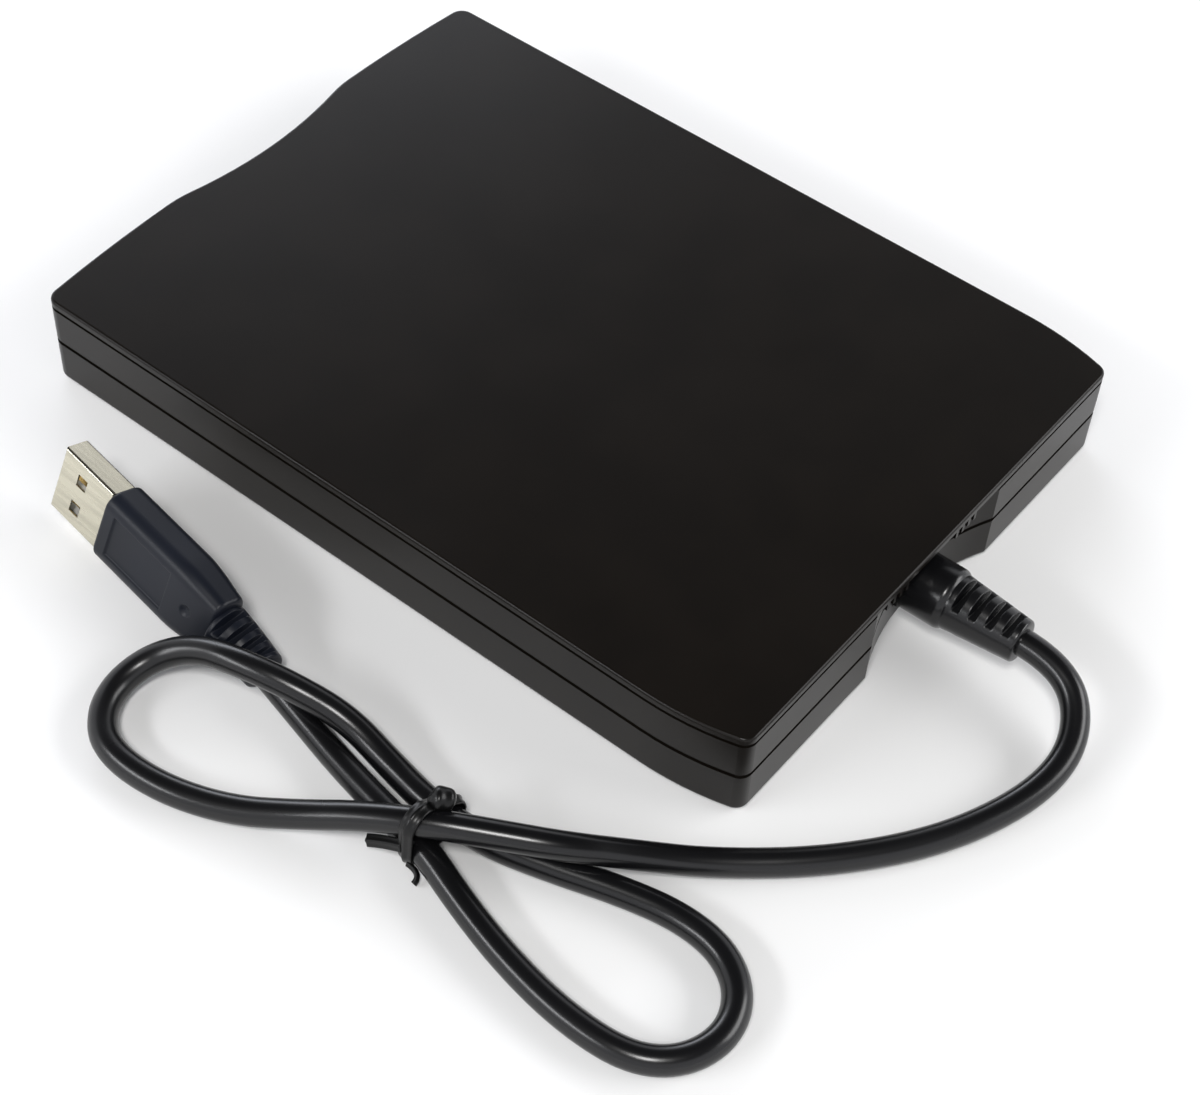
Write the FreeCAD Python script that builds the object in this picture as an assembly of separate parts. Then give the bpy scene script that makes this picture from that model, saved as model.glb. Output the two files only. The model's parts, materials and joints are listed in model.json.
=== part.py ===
import FreeCAD, Part
import math
import os

V = FreeCAD.Vector
X_DIR = V(1, 0, 0)
Y_DIR = V(0, 1, 0)
Z_DIR = V(0, 0, 1)

# Slim external disk drive. Millimetres, +Z up, +Y towards the cord, -Y towards the disk slot.
# The origin is the middle of the case's footprint, on the table.

# Case, overall
CASE_WIDTH = 104.0
CASE_LENGTH = 143.0
CASE_HEIGHT = 18.0
WALL = 1.8
ROOF = 1.6
FLOOR = 1.5
SEAM_HEIGHT = 9.0
SEAM_GROOVE = 0.4
FOOT_STAND_OFF = 0.5

# Case, outline seen from above
SIDE_BEND_FROM_REAR = 17.2
SIDE_BEND_RADIUS = 55.0
REAR_CORNER_RADIUS = 2.2
FRONT_CORNER_RADIUS = 2.6
FRONT_BOW = 1.4
NOTCH_HALF_WIDTH = 20.0
NOTCH_DEPTH = 2.4
NOTCH_BLEND = 2.4
SCOOP_HALF_WIDTH = 17.0
SCOOP_DEPTH = 4.0

# Case, edges
LIP_THICKNESS = 1.3
LIP_EDGE_ROUND = 0.5
LIP_GROOVE_HEIGHT = 0.6
LIP_GROOVE_DEPTH = 0.7
BOTTOM_EDGE_ROUND = 1.0
SCOOP_RIB_PITCH = 1.7
SCOOP_RIB_WIDTH = 0.7
SCOOP_RIB_HEIGHT = 4.0
SCOOP_RIB_COUNT = 4
SCOOP_RIB_FIRST_X = 6.6

# Feet and case fasteners
FOOT_RADIUS = 5.0
FOOT_THICKNESS = 0.8
FOOT_FROM_SIDE = 11.0
FOOT_FRONT_Y = -58.0
FOOT_REAR_Y = 55.0
CASE_SCREW_FROM_SIDE = 12.0
CASE_SCREW_FROM_REAR = 8.5
CASE_SCREW_RADIUS = 1.1
CASE_SCREW_LENGTH = 12.4
CASE_POST_RADIUS = 2.7
DRIVE_SCREW_FROM_SIDE = 10.0
DRIVE_SCREW_FRONT_Y = -50.0
DRIVE_SCREW_REAR_Y = 48.0
DRIVE_SCREW_RADIUS = 0.9
SCREW_HEAD_RADIUS = 1.9
SCREW_HEAD_HEIGHT = 0.9
SCREW_HEAD_RECESS = 0.1
SCREW_BOSS_RADIUS = 3.2
SCREW_SOCKET_DEPTH = 0.5
SCREW_SOCKET_WIDTH = 0.5

# Clearances
SCREW_CLEARANCE = 0.1
THREAD_CLEARANCE = 0.03
SHAFT_CLEARANCE = 0.05
SLIDE_CLEARANCE = 0.3
PART_CLEARANCE = 0.15

# Drive mechanism, overall
DRIVE_SIDE_GAP = 4.0
DRIVE_HEIGHT = 12.7
DRIVE_SEAT = 0.4
DRIVE_FRONT_Y = -64.0
DRIVE_REAR_Y = 57.4
SHEET = 0.8
LID_SHEET = 0.5

# Disk, where it lies in the drive
DISK_BEHIND_CAGE = 1.3
DISK_CENTRE_FROM_LEADING_EDGE = 47.0
DISK_DROP = 2.0

# Bezel
BEZEL_FACE_FROM_FRONT = 2.9
BEZEL_THICKNESS = 2.4
BEZEL_SIDE_GAP = 4.5
SLOT_HEIGHT = 4.5
SLOT_SIDE_GAP = 0.4
SLOT_LOW_ABOVE_FLOOR = 6.0
SLOT_FUNNEL = 0.6
FLAP_THICKNESS = 0.8
FLAP_OVERLAP = 0.25
FLAP_PIN_RADIUS = 0.5
FLAP_BARREL_RADIUS = 0.8
FLAP_PIVOT_ABOVE_SLOT = 0.8
FLAP_PIVOT_BEHIND_BEZEL = 1.2
FLAP_EAR_THICKNESS = 0.9

# Eject button and indicator
BUTTON_FROM_SIDE = 16.0
BUTTON_WIDTH = 12.0
BUTTON_HEIGHT = 3.0
BUTTON_LOW_ABOVE_FLOOR = 1.7
BUTTON_PROUD = 1.0
BUTTON_TRAVEL = 4.5
LAMP_FROM_SIDE = 14.0
LAMP_WIDTH = 4.0
LAMP_HEIGHT = 1.6
LAMP_LENGTH = 6.6
LAMP_PROUD = 0.2

# Disk cage
CAGE_SHEET = 0.5
CAGE_INNER_HEIGHT = 4.3
CAGE_WALL_GAP = 1.5
CAGE_FRONT_Y = -59.0
CAGE_REAR_Y = 26.2
CAGE_RAIL_WIDTH = 5.7
CAGE_LIFT_OFF_HUB = 0.5
CAGE_WINDOW_HALF_WIDTH = 9.0
CAGE_WINDOW_FRONT_Y = -2.0
CAGE_PIN_RADIUS = 0.6
CAGE_PIN_FRONT_Y = -46.0
CAGE_PIN_REAR_Y = 8.0
CAGE_PIN_BELOW_TOP = 2.9
PIN_SLOT_CLEARANCE = 0.15

# Eject slider
SLIDER_SHEET = 0.6
SLIDER_FRONT_Y = -60.5
SLIDER_REAR_Y = 20.0
SLIDER_STRIP_WIDTH = 10.6
SLIDER_CROSS_DEPTH = 8.5
SLIDER_FLANGE_FRONT_Y = -52.0
SLIDER_FLANGE_REAR_Y = 16.0
SLIDER_OVER_TRAVEL = 0.4
SLIDER_WALL_GAP = 0.5
SLIDER_FLANGE_ABOVE_PIN = 1.7
SLIDER_SCREW_CLEARANCE = 1.8
SPRING_FROM_SLIDER_EDGE = 12.5
SPRING_RADIUS = 0.7
SPRING_WIRE = 0.2
SPRING_FRONT_Y = -46.0
SPRING_REAR_Y = -24.0
SPRING_TURNS = 16
SPRING_TAB_WIDTH = 2.4
SPRING_TAB_HEIGHT = 2.6

# Shutter lever, on top of the cage
LEVER_FROM_CAGE_SIDE = 11.7
LEVER_Y = 16.0
LEVER_REACH = 20.0
LEVER_REST_ANGLE = -62.0
LEVER_SWEEP = 50.0
LEVER_SHEET = 0.6
LEVER_ARM_WIDTH = 4.0
LEVER_TAIL = 7.0
LEVER_POST_RADIUS = 1.5
LEVER_POST_HEAD_RADIUS = 2.2
LEVER_POST_HEAD_HEIGHT = 0.3
LEVER_HUB_RADIUS = 3.3
LEVER_FEELER_RADIUS = 0.9
LEVER_FEELER_DEPTH = 0.8
LEVER_SPRING_RADIUS = 0.5
LEVER_SPRING_WIRE = 0.15
LEVER_SPRING_TURNS = 10
LEVER_SPRING_LENGTH = 6.2

# Spindle motor
MOTOR_BOARD_RADIUS = 22.0
MOTOR_BOARD_THICKNESS = 0.8
ROTOR_RADIUS = 20.0
ROTOR_SHEET = 0.7
ROTOR_TOP_ABOVE_PLATE = 2.8
ROTOR_SKIRT_GAP = 0.4
COIL_COUNT = 9
COIL_INNER_RADIUS = 8.0
COIL_OUTER_RADIUS = 18.2
COIL_WIDTH = 4.0
COIL_HEIGHT = 1.2
COIL_SIDE = 1.3
BEARING_RADIUS = 3.4
SPINDLE_RADIUS = 1.5
HUB_RADIUS = 12.2
HUB_THICKNESS = 0.3
SPINDLE_ABOVE_HUB = 1.3
DRIVE_PIN_RADIUS = 1.0
DRIVE_PIN_OFFSET = 9.8
DRIVE_PIN_HEIGHT = 1.0

# Head carriage, rods and lead screw
TRACK_ZERO_RADIUS = 39.5
ROD_RADIUS = 1.0
ROD_X = 13.0
ROD_ABOVE_PLATE = 1.7
ROD_FRONT_Y = 11.0
ROD_SEAT_DEPTH = 2.0
ROD_SEAT_WIDTH = 4.4
CARRIAGE_FRONT_Y = 43.5
CARRIAGE_DEPTH = 6.5
CARRIAGE_HALF_WIDTH = 16.0
CARRIAGE_THICKNESS = 2.7
CARRIAGE_ARM_WIDTH = 10.0
CARRIAGE_ARM_THICKNESS = 1.2
CARRIAGE_LIFT = 0.5
CARRIAGE_ARM_LIFT = 0.5
HEAD_MARGIN = 0.5
HEAD_SIZE = 5.0
HEAD_GROOVE_WIDTH = 1.0
HEAD_GROOVE_DEPTH = 0.3
UPPER_HEAD_THICKNESS = 0.4
HEAD_FACE_ABOVE_PLATE = 4.6
ARM_THICKNESS = 0.8
ARM_FRONT_WIDTH = 9.0
ARM_BARREL_RADIUS = 1.2
ARM_PIN_RADIUS = 0.6
ARM_PIVOT_Y = 47.0
ARM_EAR_THICKNESS = 1.5
ARM_EAR_HALF_DEPTH = 1.4
ARM_PIVOT_LIFT = 0.3
ARM_ROOT_WIDENING = 0.6
SCREW_X = 22.0
SCREW_ABOVE_PLATE = 3.6
LEAD_SCREW_RADIUS = 1.25
BRACKET_FRONT_Y = 26.6
JOURNAL_RADIUS = 0.75
STEPPER_RADIUS = 3.8
STEPPER_FRONT_Y = 49.6
STEPPER_LENGTH = 6.6
STEPPER_FOOT_HALF_WIDTH = 2.6
FOLLOWER_LENGTH = 3.0
BRACKET_THICKNESS = 1.2

# Boards and ribbon
BOARD_THICKNESS = 0.8
BOARD_STAND_OFF = 0.3
DRIVE_BOARD_FROM_WALL = 2.2
DRIVE_BOARD_FROM_CARRIAGE = 2.0
DRIVE_BOARD_Y = (28.0, 56.0)
USB_BOARD_FROM_POST = 6.0
USB_BOARD_FROM_GLAND = 9.8
USB_BOARD_DEPTH = 7.6
USB_BOARD_GAP_TO_DRIVE = 1.2
RIBBON_WIDTH = 14.0
RIBBON_THICKNESS = 0.2
RIBBON_OPENING = (1.0, 4.4)
RIBBON_FROM_BOARD_END = 6.0
CONNECTOR_DEPTH = 3.0
CONNECTOR_HEIGHT = 1.6
CONNECTOR_MARGIN = 0.4
CONTROLLER_CHIP = (9.0, 9.0, 1.2)
CONTROLLER_PLACE = (7.0, 10.0)
MOTOR_CHIP = (6.0, 5.0, 1.1)
MOTOR_CHIP_PLACE = (7.0, 8.0)
REGULATOR = (5.0, 3.0, 1.0)
REGULATOR_PLACE = (6.0, 6.0)
SMALL_PART = (3.0, 2.0, 0.8)
SMALL_PART_PLACE = (6.0, 9.5)
INTERFACE_CHIP = (5.0, 4.0, 1.0)
INTERFACE_CHIP_FROM_REAR = 1.4
CRYSTAL_CAN = (4.6, 2.4, 2.6)
CRYSTAL_PLACE = (7.3, 2.0)
CAPACITOR = (2.6, 6.2, 2.2)
CAPACITOR_PLACE = (3.0, 3.2)
STUD_RADIUS = 1.5
STUD_INSET = 3.5
SWITCH_SIZE = 4.0
SWITCH_HEIGHT = 2.6
PLUNGER_RADIUS = 0.6
PLUNGER_HEIGHT = 0.4
SWITCH_Y = -44.0
SWITCH_PLACES = ((-1, 4.2), (-1, 10.2), (1, 6.2))

# Lid fasteners
LID_TAB_Y = 40.0
LID_TAB_WIDTH = 7.0
LID_TAB_DROP = 3.6
LID_TAB_SHEET = 0.4
LID_SCREW_RADIUS = 0.75
LID_SCREW_HEAD_RADIUS = 1.5
LID_SCREW_HEAD_HEIGHT = 0.6

# Cord, its strain relief and its plug
CORD_DIAMETER = 4.5
GLAND_X = 0.8
GLAND_Z = 8.6
GLAND_FLANGE_WIDTH = 13.0
GLAND_FLANGE_HEIGHT = 10.4
GLAND_FLANGE_THICKNESS = 1.4
GLAND_NECK_WIDTH = 8.0
GLAND_HEAD_RADIUS = 5.2
GLAND_HEAD_LENGTH = 8.6
GLAND_END_RADIUS = 3.6
GLAND_REACH = 17.0
GLAND_SHOULDER_RADIUS = 4.7
RELIEF_SLOTS = 4
RELIEF_SLOT_WIDTH = 1.1
RELIEF_CORE_RADIUS = 2.5
RELIEF_SIDE_WALL = 1.1
CORE_RADIUS = 0.5
CORE_SPACING = 1.5
CORE_FIRST_TURN = 0.2

PLUG_FACE = V(72.95, -33.2, 8.5)
PLUG_TIP_DIRECTION = V(-0.116, -0.988, 0.100)
PLUG_LEAN = 20.0
PLUG_SHELL_LENGTH = 12.0
PLUG_SHELL_WIDTH = 12.0
PLUG_SHELL_THICKNESS = 4.5
PLUG_SHELL_WALL = 0.3
PLUG_WINDOW = 2.2
PLUG_WINDOW_SPACING = 5.2
PLUG_WINDOW_FROM_TIP = 5.2
TONGUE_THICKNESS = 1.9
CONTACT_WIDTH = 1.1
CONTACT_SPACING = 2.3
CONTACT_THICKNESS = 0.2
CONTACT_LENGTH = 10.4
MOULD_WIDTH = 13.0
MOULD_THICKNESS = 7.4
MOULD_CHAMFER = 2.0
MOULD_STRAIGHT = 18.0
MOULD_LENGTH = 26.5
MOULD_TAPER = 0.76
MOULD_PANEL_DEPTH = 0.35
MOULD_PANEL_MARGIN = 2.6
PLUG_RELIEF_START_RADIUS = 4.1
PLUG_RELIEF_END_RADIUS = 3.4

# Points that the cord goes by, from the strain relief to the plug, chosen by eye
CORD_POINTS = [
    (0.8, 88.5, 8.6),
    (0.8, 94.0, 8.6),
    (3.4, 100.4, 6.6),
    (10.6, 104.2, 3.8),
    (21.0, 103.2, 2.3),
    (35.5, 97.2, 2.3),
    (49.0, 86.7, 2.3),
    (60.0, 74.2, 2.3),
    (67.4, 65.2, 4.4),
    (74.2, 58.4, 7.5),
    (79.6, 49.2, 8.1),
    (84.3, 40.9, 8.3),
    (88.3, 32.6, 6.6),
    (92.7, 24.4, 3.9),
    (98.1, 15.2, 2.3),
    (101.8, 4.6, 2.3),
    (102.1, -5.6, 2.3),
    (98.5, -11.2, 2.3),
    (92.4, -13.7, 2.6),
    (86.0, -12.0, 4.4),
    (82.3, -6.5, 7.2),
    (81.2, 1.0, 9.2),
    (79.1, 9.6, 8.6),
    (76.4, 18.4, 5.5),
    (77.3, 28.0, 3.0),
    (79.2, 37.6, 3.5),
    (78.4, 47.2, 2.7),
    (75.4, 57.2, 2.3),
    (72.2, 66.6, 2.3),
    (70.0, 75.9, 2.3),
    (70.5, 84.1, 2.3),
    (74.6, 90.3, 2.3),
    (81.3, 92.7, 2.3),
    (88.2, 90.3, 2.3),
    (92.4, 84.2, 2.3),
    (93.0, 73.6, 2.3),
    (91.4, 62.4, 2.3),
    (88.6, 51.6, 2.6),
    (85.3, 41.2, 3.6),
    (83.5, 30.9, 2.9),
    (81.3, 20.8, 2.3),
    (78.9, 11.0, 2.5),
    (77.1, 2.2, 3.5),
]

# Twist tie that holds the cord's loops
TIE_Y = 40.2
TIE_WIDTH = 2.4
TIE_THICKNESS = 0.5
TIE_STRANDS = ((79.0, 3.6), (85.2, 3.65), (84.85, 8.2))
TIE_SLACK = 0.75
TIE_TWIST_LENGTH = 7.0
TIE_TWIST_RADIUS = 0.9
TIE_TWIST_OFFSET = 1.2
TIE_TWIST_DIRECTION = V(-0.75, 0.25, 0.42)

# Heights and places worked out from the sizes above
FLOOR_TOP = FOOT_STAND_OFF + FLOOR
CEILING = CASE_HEIGHT - ROOF
LIP_LOW = CASE_HEIGHT - LIP_THICKNESS
FRONT_Y = -CASE_LENGTH / 2
REAR_Y = CASE_LENGTH / 2
DRIVE_LOW = FLOOR_TOP + DRIVE_SEAT
DRIVE_WIDTH = CASE_WIDTH - 2 * DRIVE_SIDE_GAP
PLATE_TOP = DRIVE_LOW + SHEET
DRIVE_TOP = DRIVE_LOW + DRIVE_HEIGHT
LID_LOW = DRIVE_TOP - LID_SHEET
WALL_INNER_X = DRIVE_WIDTH / 2 - SHEET
BEZEL_WIDTH = CASE_WIDTH - 2 * BEZEL_SIDE_GAP
BEZEL_FACE_Y = FRONT_Y + BEZEL_FACE_FROM_FRONT
BEZEL_BACK_Y = BEZEL_FACE_Y + BEZEL_THICKNESS
SLOT_LOW = FLOOR_TOP + SLOT_LOW_ABOVE_FLOOR
SLOT_TOP = SLOT_LOW + SLOT_HEIGHT
FLAP_PIVOT_Y = BEZEL_BACK_Y + FLAP_PIVOT_BEHIND_BEZEL
FLAP_PIVOT_Z = SLOT_TOP + FLAP_PIVOT_ABOVE_SLOT
DISK_REAR_Y = CAGE_REAR_Y + DISK_BEHIND_CAGE
SPINDLE_Y = DISK_REAR_Y - DISK_CENTRE_FROM_LEADING_EDGE
ROTOR_TOP = PLATE_TOP + ROTOR_TOP_ABOVE_PLATE
HUB_TOP = ROTOR_TOP + HUB_THICKNESS
SPINDLE_TOP = HUB_TOP + SPINDLE_ABOVE_HUB
CAGE_INNER_LOW = SPINDLE_TOP + CAGE_LIFT_OFF_HUB
CAGE_INNER_TOP = CAGE_INNER_LOW + CAGE_INNER_HEIGHT
CAGE_TOP = CAGE_INNER_TOP + CAGE_SHEET
CAGE_OUTER_X = WALL_INNER_X - CAGE_WALL_GAP
CAGE_INNER_X = CAGE_OUTER_X - CAGE_SHEET
SLOT_WIDTH = 2 * (CAGE_INNER_X + SLOT_SIDE_GAP)
LEVER_X = LEVER_FROM_CAGE_SIDE - CAGE_OUTER_X
CAGE_PIN_Z = CAGE_TOP - CAGE_PIN_BELOW_TOP
SLIDER_OUTER_X = WALL_INNER_X - SLIDER_WALL_GAP
SLIDER_INNER_X = SLIDER_OUTER_X - SLIDER_SHEET
SLIDER_LOW = PLATE_TOP + SLIDE_CLEARANCE
SLIDER_TOP = SLIDER_LOW + SLIDER_SHEET
SPRING_X = SLIDER_OUTER_X - SPRING_FROM_SLIDER_EDGE
SWITCH_XS = [side * (SPRING_X - inside) for side, inside in SWITCH_PLACES]
HEAD_Y = SPINDLE_Y + TRACK_ZERO_RADIUS
ROD_Z = PLATE_TOP + ROD_ABOVE_PLATE
CARRIAGE_LOW = PLATE_TOP + CARRIAGE_LIFT
CARRIAGE_TOP = CARRIAGE_LOW + CARRIAGE_THICKNESS
HEAD_FACE = PLATE_TOP + HEAD_FACE_ABOVE_PLATE
ARM_LOW = CAGE_TOP
ARM_TOP = ARM_LOW + ARM_THICKNESS
ARM_PIVOT_Z = ARM_LOW + ARM_PIVOT_LIFT
SCREW_Z = PLATE_TOP + SCREW_ABOVE_PLATE
USB_BOARD_FRONT_Y = DRIVE_REAR_Y + USB_BOARD_GAP_TO_DRIVE
SCOOP_FLOOR_Y = REAR_Y - SCOOP_DEPTH
GLAND_END_Y = REAR_Y + GLAND_REACH
SCREW_HEAD_LOW = FOOT_STAND_OFF + SCREW_HEAD_RECESS
FOOT_X = CASE_WIDTH / 2 - FOOT_FROM_SIDE
CASE_SCREW_X = CASE_WIDTH / 2 - CASE_SCREW_FROM_SIDE
DRIVE_SCREW_X = CASE_WIDTH / 2 - DRIVE_SCREW_FROM_SIDE
BUTTON_X = CASE_WIDTH / 2 - BUTTON_FROM_SIDE
LAMP_X = LAMP_FROM_SIDE - CASE_WIDTH / 2
DRIVE_BOARD_X = (DRIVE_BOARD_FROM_WALL - WALL_INNER_X, -CARRIAGE_HALF_WIDTH - DRIVE_BOARD_FROM_CARRIAGE)
USB_BOARD_X = (USB_BOARD_FROM_POST - CASE_SCREW_X, GLAND_X - USB_BOARD_FROM_GLAND)
RIBBON_X = USB_BOARD_X[0] + RIBBON_FROM_BOARD_END


def save(name, shape):
    """Write one node's solids to its own file."""
    shape.exportStep("parts/" + name + ".step")


def block(x_range, y_range, z_range):
    """A box between two values on each axis."""
    size_x = x_range[1] - x_range[0]
    size_y = y_range[1] - y_range[0]
    size_z = z_range[1] - z_range[0]
    return Part.makeBox(size_x, size_y, size_z, V(x_range[0], y_range[0], z_range[0]))


def rod(radius, start, direction, length):
    """A round bar."""
    return Part.makeCylinder(radius, length, start, direction)


def both_sides(shape):
    """The shape and its mirror image across the middle."""
    return [shape, shape.mirror(V(0, 0, 0), X_DIR)]


def fuse(shapes):
    """One solid from several that touch."""
    first = shapes[0]
    if len(shapes) == 1:
        return first
    return first.multiFuse(shapes[1:]).removeSplitter()


def arc(start, middle, end):
    """An arc edge through three points."""
    return Part.Arc(start, middle, end).toShape()


def line(start, end):
    """A straight edge."""
    return Part.LineSegment(start, end).toShape()


def tangent_corner(before, corner, after, radius):
    """Start, middle and end of the arc that rounds a corner between two straight directions."""
    to_before = (before - corner).normalize()
    to_after = (after - corner).normalize()
    half = to_before.getAngle(to_after) / 2
    reach = radius / math.tan(half)
    bisector = (to_before + to_after).normalize()
    middle = corner + bisector * (radius / math.sin(half) - radius)
    return corner + to_before * reach, middle, corner + to_after * reach


def side_bend_x(y):
    """Half width of the case at a place on its inward bend near the rear."""
    past = y - (REAR_Y - SIDE_BEND_FROM_REAR)
    centre = CASE_WIDTH / 2 - SIDE_BEND_RADIUS
    return centre + math.sqrt(SIDE_BEND_RADIUS ** 2 - past ** 2)


def right_half_edges(scooped):
    """Edges of the case outline for x over 0, from the front middle to the rear middle."""
    half = CASE_WIDTH / 2
    bend_y = REAR_Y - SIDE_BEND_FROM_REAR
    corner_y = FRONT_Y + FRONT_BOW
    notch_middle = V(0, FRONT_Y + NOTCH_DEPTH, 0)
    notch_radius = (NOTCH_HALF_WIDTH ** 2 + NOTCH_DEPTH ** 2) / (2 * NOTCH_DEPTH)
    inner_x = NOTCH_HALF_WIDTH - NOTCH_BLEND
    outer_x = NOTCH_HALF_WIDTH + NOTCH_BLEND

    def notch_point(x):
        drop = notch_radius - math.sqrt(notch_radius ** 2 - x ** 2)
        return V(x, FRONT_Y + NOTCH_DEPTH - drop, 0)

    def bow_point(x):
        share = (x - outer_x) / (half - outer_x)
        return V(x, FRONT_Y + FRONT_BOW * share ** 2, 0)

    front_corner = V(half, corner_y, 0)
    before_corner = V(outer_x, FRONT_Y, 0)
    corner_start, corner_middle, corner_end = tangent_corner(
        bow_point(half - 6), front_corner, V(half, 0, 0), FRONT_CORNER_RADIUS)
    blend_middle = V(NOTCH_HALF_WIDTH, FRONT_Y + 0.12 * NOTCH_BLEND / 2, 0)
    bow_middle = bow_point((outer_x + half) / 2 + 4)
    rear_corner = V(side_bend_x(REAR_Y), REAR_Y, 0)
    rear_start, rear_middle, rear_end = tangent_corner(
        V(side_bend_x(REAR_Y - 4), REAR_Y - 4, 0), rear_corner, V(0, REAR_Y, 0), REAR_CORNER_RADIUS)
    rear_start = V(side_bend_x(rear_start.y), rear_start.y, 0)
    middle_y = (bend_y + rear_start.y) / 2
    edges = [
        arc(notch_middle, notch_point(inner_x / 2), notch_point(inner_x)),
        arc(notch_point(inner_x), blend_middle, before_corner),
        arc(before_corner, bow_middle, corner_start),
        arc(corner_start, corner_middle, corner_end),
        line(corner_end, V(half, bend_y, 0)),
        arc(V(half, bend_y, 0), V(side_bend_x(middle_y), middle_y, 0), rear_start),
        arc(rear_start, rear_middle, rear_end),
    ]
    if not scooped:
        return edges + [line(rear_end, V(0, REAR_Y, 0))]
    scoop_radius = (SCOOP_HALF_WIDTH ** 2 + SCOOP_DEPTH ** 2) / (2 * SCOOP_DEPTH)

    def scoop_point(x):
        rise = scoop_radius - math.sqrt(scoop_radius ** 2 - x ** 2)
        return V(x, SCOOP_FLOOR_Y + rise, 0)

    edge_point = V(SCOOP_HALF_WIDTH, REAR_Y, 0)
    edges.append(line(rear_end, edge_point))
    edges.append(arc(edge_point, scoop_point(SCOOP_HALF_WIDTH / 2), V(0, SCOOP_FLOOR_Y, 0)))
    return edges


def outline_face(scooped, inset=0.0):
    """The case outline as a face at z = 0, drawn in by an inset."""
    right = right_half_edges(scooped)
    left = [edge.mirror(V(0, 0, 0), X_DIR) for edge in right]
    wire = Part.Wire(Part.__sortEdges__(right + left))
    face = Part.Face(wire)
    if inset > 0:
        face = face.makeOffset2D(-inset)
    return face


def slab(scooped, inset, low, high):
    """The case outline extruded between two heights."""
    face = outline_face(scooped, inset)
    face.translate(V(0, 0, low))
    return face.extrude(V(0, 0, high - low))


def edges_at_height(shape, height):
    """All edges that lie flat at one height."""
    found = []
    for edge in shape.Edges:
        box = edge.BoundBox
        if abs(box.ZMin - height) < 1e-4 and abs(box.ZMax - height) < 1e-4:
            found.append(edge)
    return found


def groove_ring(low, high, depth):
    """A groove round the outside of the case."""
    outer = slab(False, 0, low, high).fuse(slab(True, 0, low, high))
    return outer.cut(slab(True, depth, low, high))


def bezel_opening():
    """The window at the front of the case that the bezel stands in."""
    half = BEZEL_WIDTH / 2 + PART_CLEARANCE
    return block((-half, half), (FRONT_Y - 2, BEZEL_BACK_Y + 4), (FLOOR_TOP, CEILING))


def gland_passage():
    """The hole in the rear wall for the strain relief's neck."""
    half = GLAND_NECK_WIDTH / 2 + PART_CLEARANCE
    return block((GLAND_X - half, GLAND_X + half), (SCOOP_FLOOR_Y - WALL - 3, REAR_Y),
                 (GLAND_Z - half, GLAND_Z + half))


def case_screw_places():
    """Where the two screws that hold the shells together stand."""
    y = REAR_Y - CASE_SCREW_FROM_REAR
    return [V(-CASE_SCREW_X, y, 0), V(CASE_SCREW_X, y, 0)]


def drive_screw_places():
    """Where the four screws that hold the drive stand."""
    places = []
    for y in (DRIVE_SCREW_FRONT_Y, DRIVE_SCREW_REAR_Y):
        places.append(V(-DRIVE_SCREW_X, y, 0))
        places.append(V(DRIVE_SCREW_X, y, 0))
    return places


def foot_places():
    """Centres of the four feet."""
    return [V(x, y, 0) for x in (-FOOT_X, FOOT_X) for y in (FOOT_FRONT_Y, FOOT_REAR_Y)]


def make_top_cover():
    """Upper shell: roof with an overhanging lip, walls, and two screw posts."""
    roof = slab(False, 0, LIP_LOW, CASE_HEIGHT)
    roof = roof.makeFillet(LIP_EDGE_ROUND, edges_at_height(roof, CASE_HEIGHT))
    walls = slab(True, 0, SEAM_HEIGHT, LIP_LOW)
    cover = roof.fuse(walls)
    cover = cover.cut(slab(True, WALL, SEAM_HEIGHT - 1, CEILING))
    cover = cover.cut(groove_ring(LIP_LOW - LIP_GROOVE_HEIGHT, LIP_LOW, LIP_GROOVE_DEPTH))
    cover = cover.cut(groove_ring(SEAM_HEIGHT, SEAM_HEIGHT + SEAM_GROOVE, SEAM_GROOVE))
    cover = cover.cut(bezel_opening())
    cover = cover.cut(gland_passage())
    posts = []
    for place in case_screw_places():
        low = V(place.x, place.y, SEAM_HEIGHT)
        posts.append(rod(CASE_POST_RADIUS, low, Z_DIR, CEILING - SEAM_HEIGHT + 0.2))
    cover = fuse([cover] + posts)
    for place in case_screw_places():
        low = V(place.x, place.y, SEAM_HEIGHT - 0.1)
        reach = SCREW_HEAD_LOW + SCREW_HEAD_HEIGHT + CASE_SCREW_LENGTH + 0.4 - low.z
        cover = cover.cut(rod(CASE_SCREW_RADIUS + THREAD_CLEARANCE, low, Z_DIR, reach))
    ribs = []
    for index in range(SCOOP_RIB_COUNT):
        x = SCOOP_RIB_FIRST_X + index * SCOOP_RIB_PITCH
        rib = block((x, x + SCOOP_RIB_WIDTH), (SCOOP_FLOOR_Y - 0.2, REAR_Y - 0.9),
                    (LIP_LOW - SCOOP_RIB_HEIGHT, LIP_LOW + 0.1))
        ribs.extend(both_sides(rib))
    return fuse([cover] + ribs)


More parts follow.
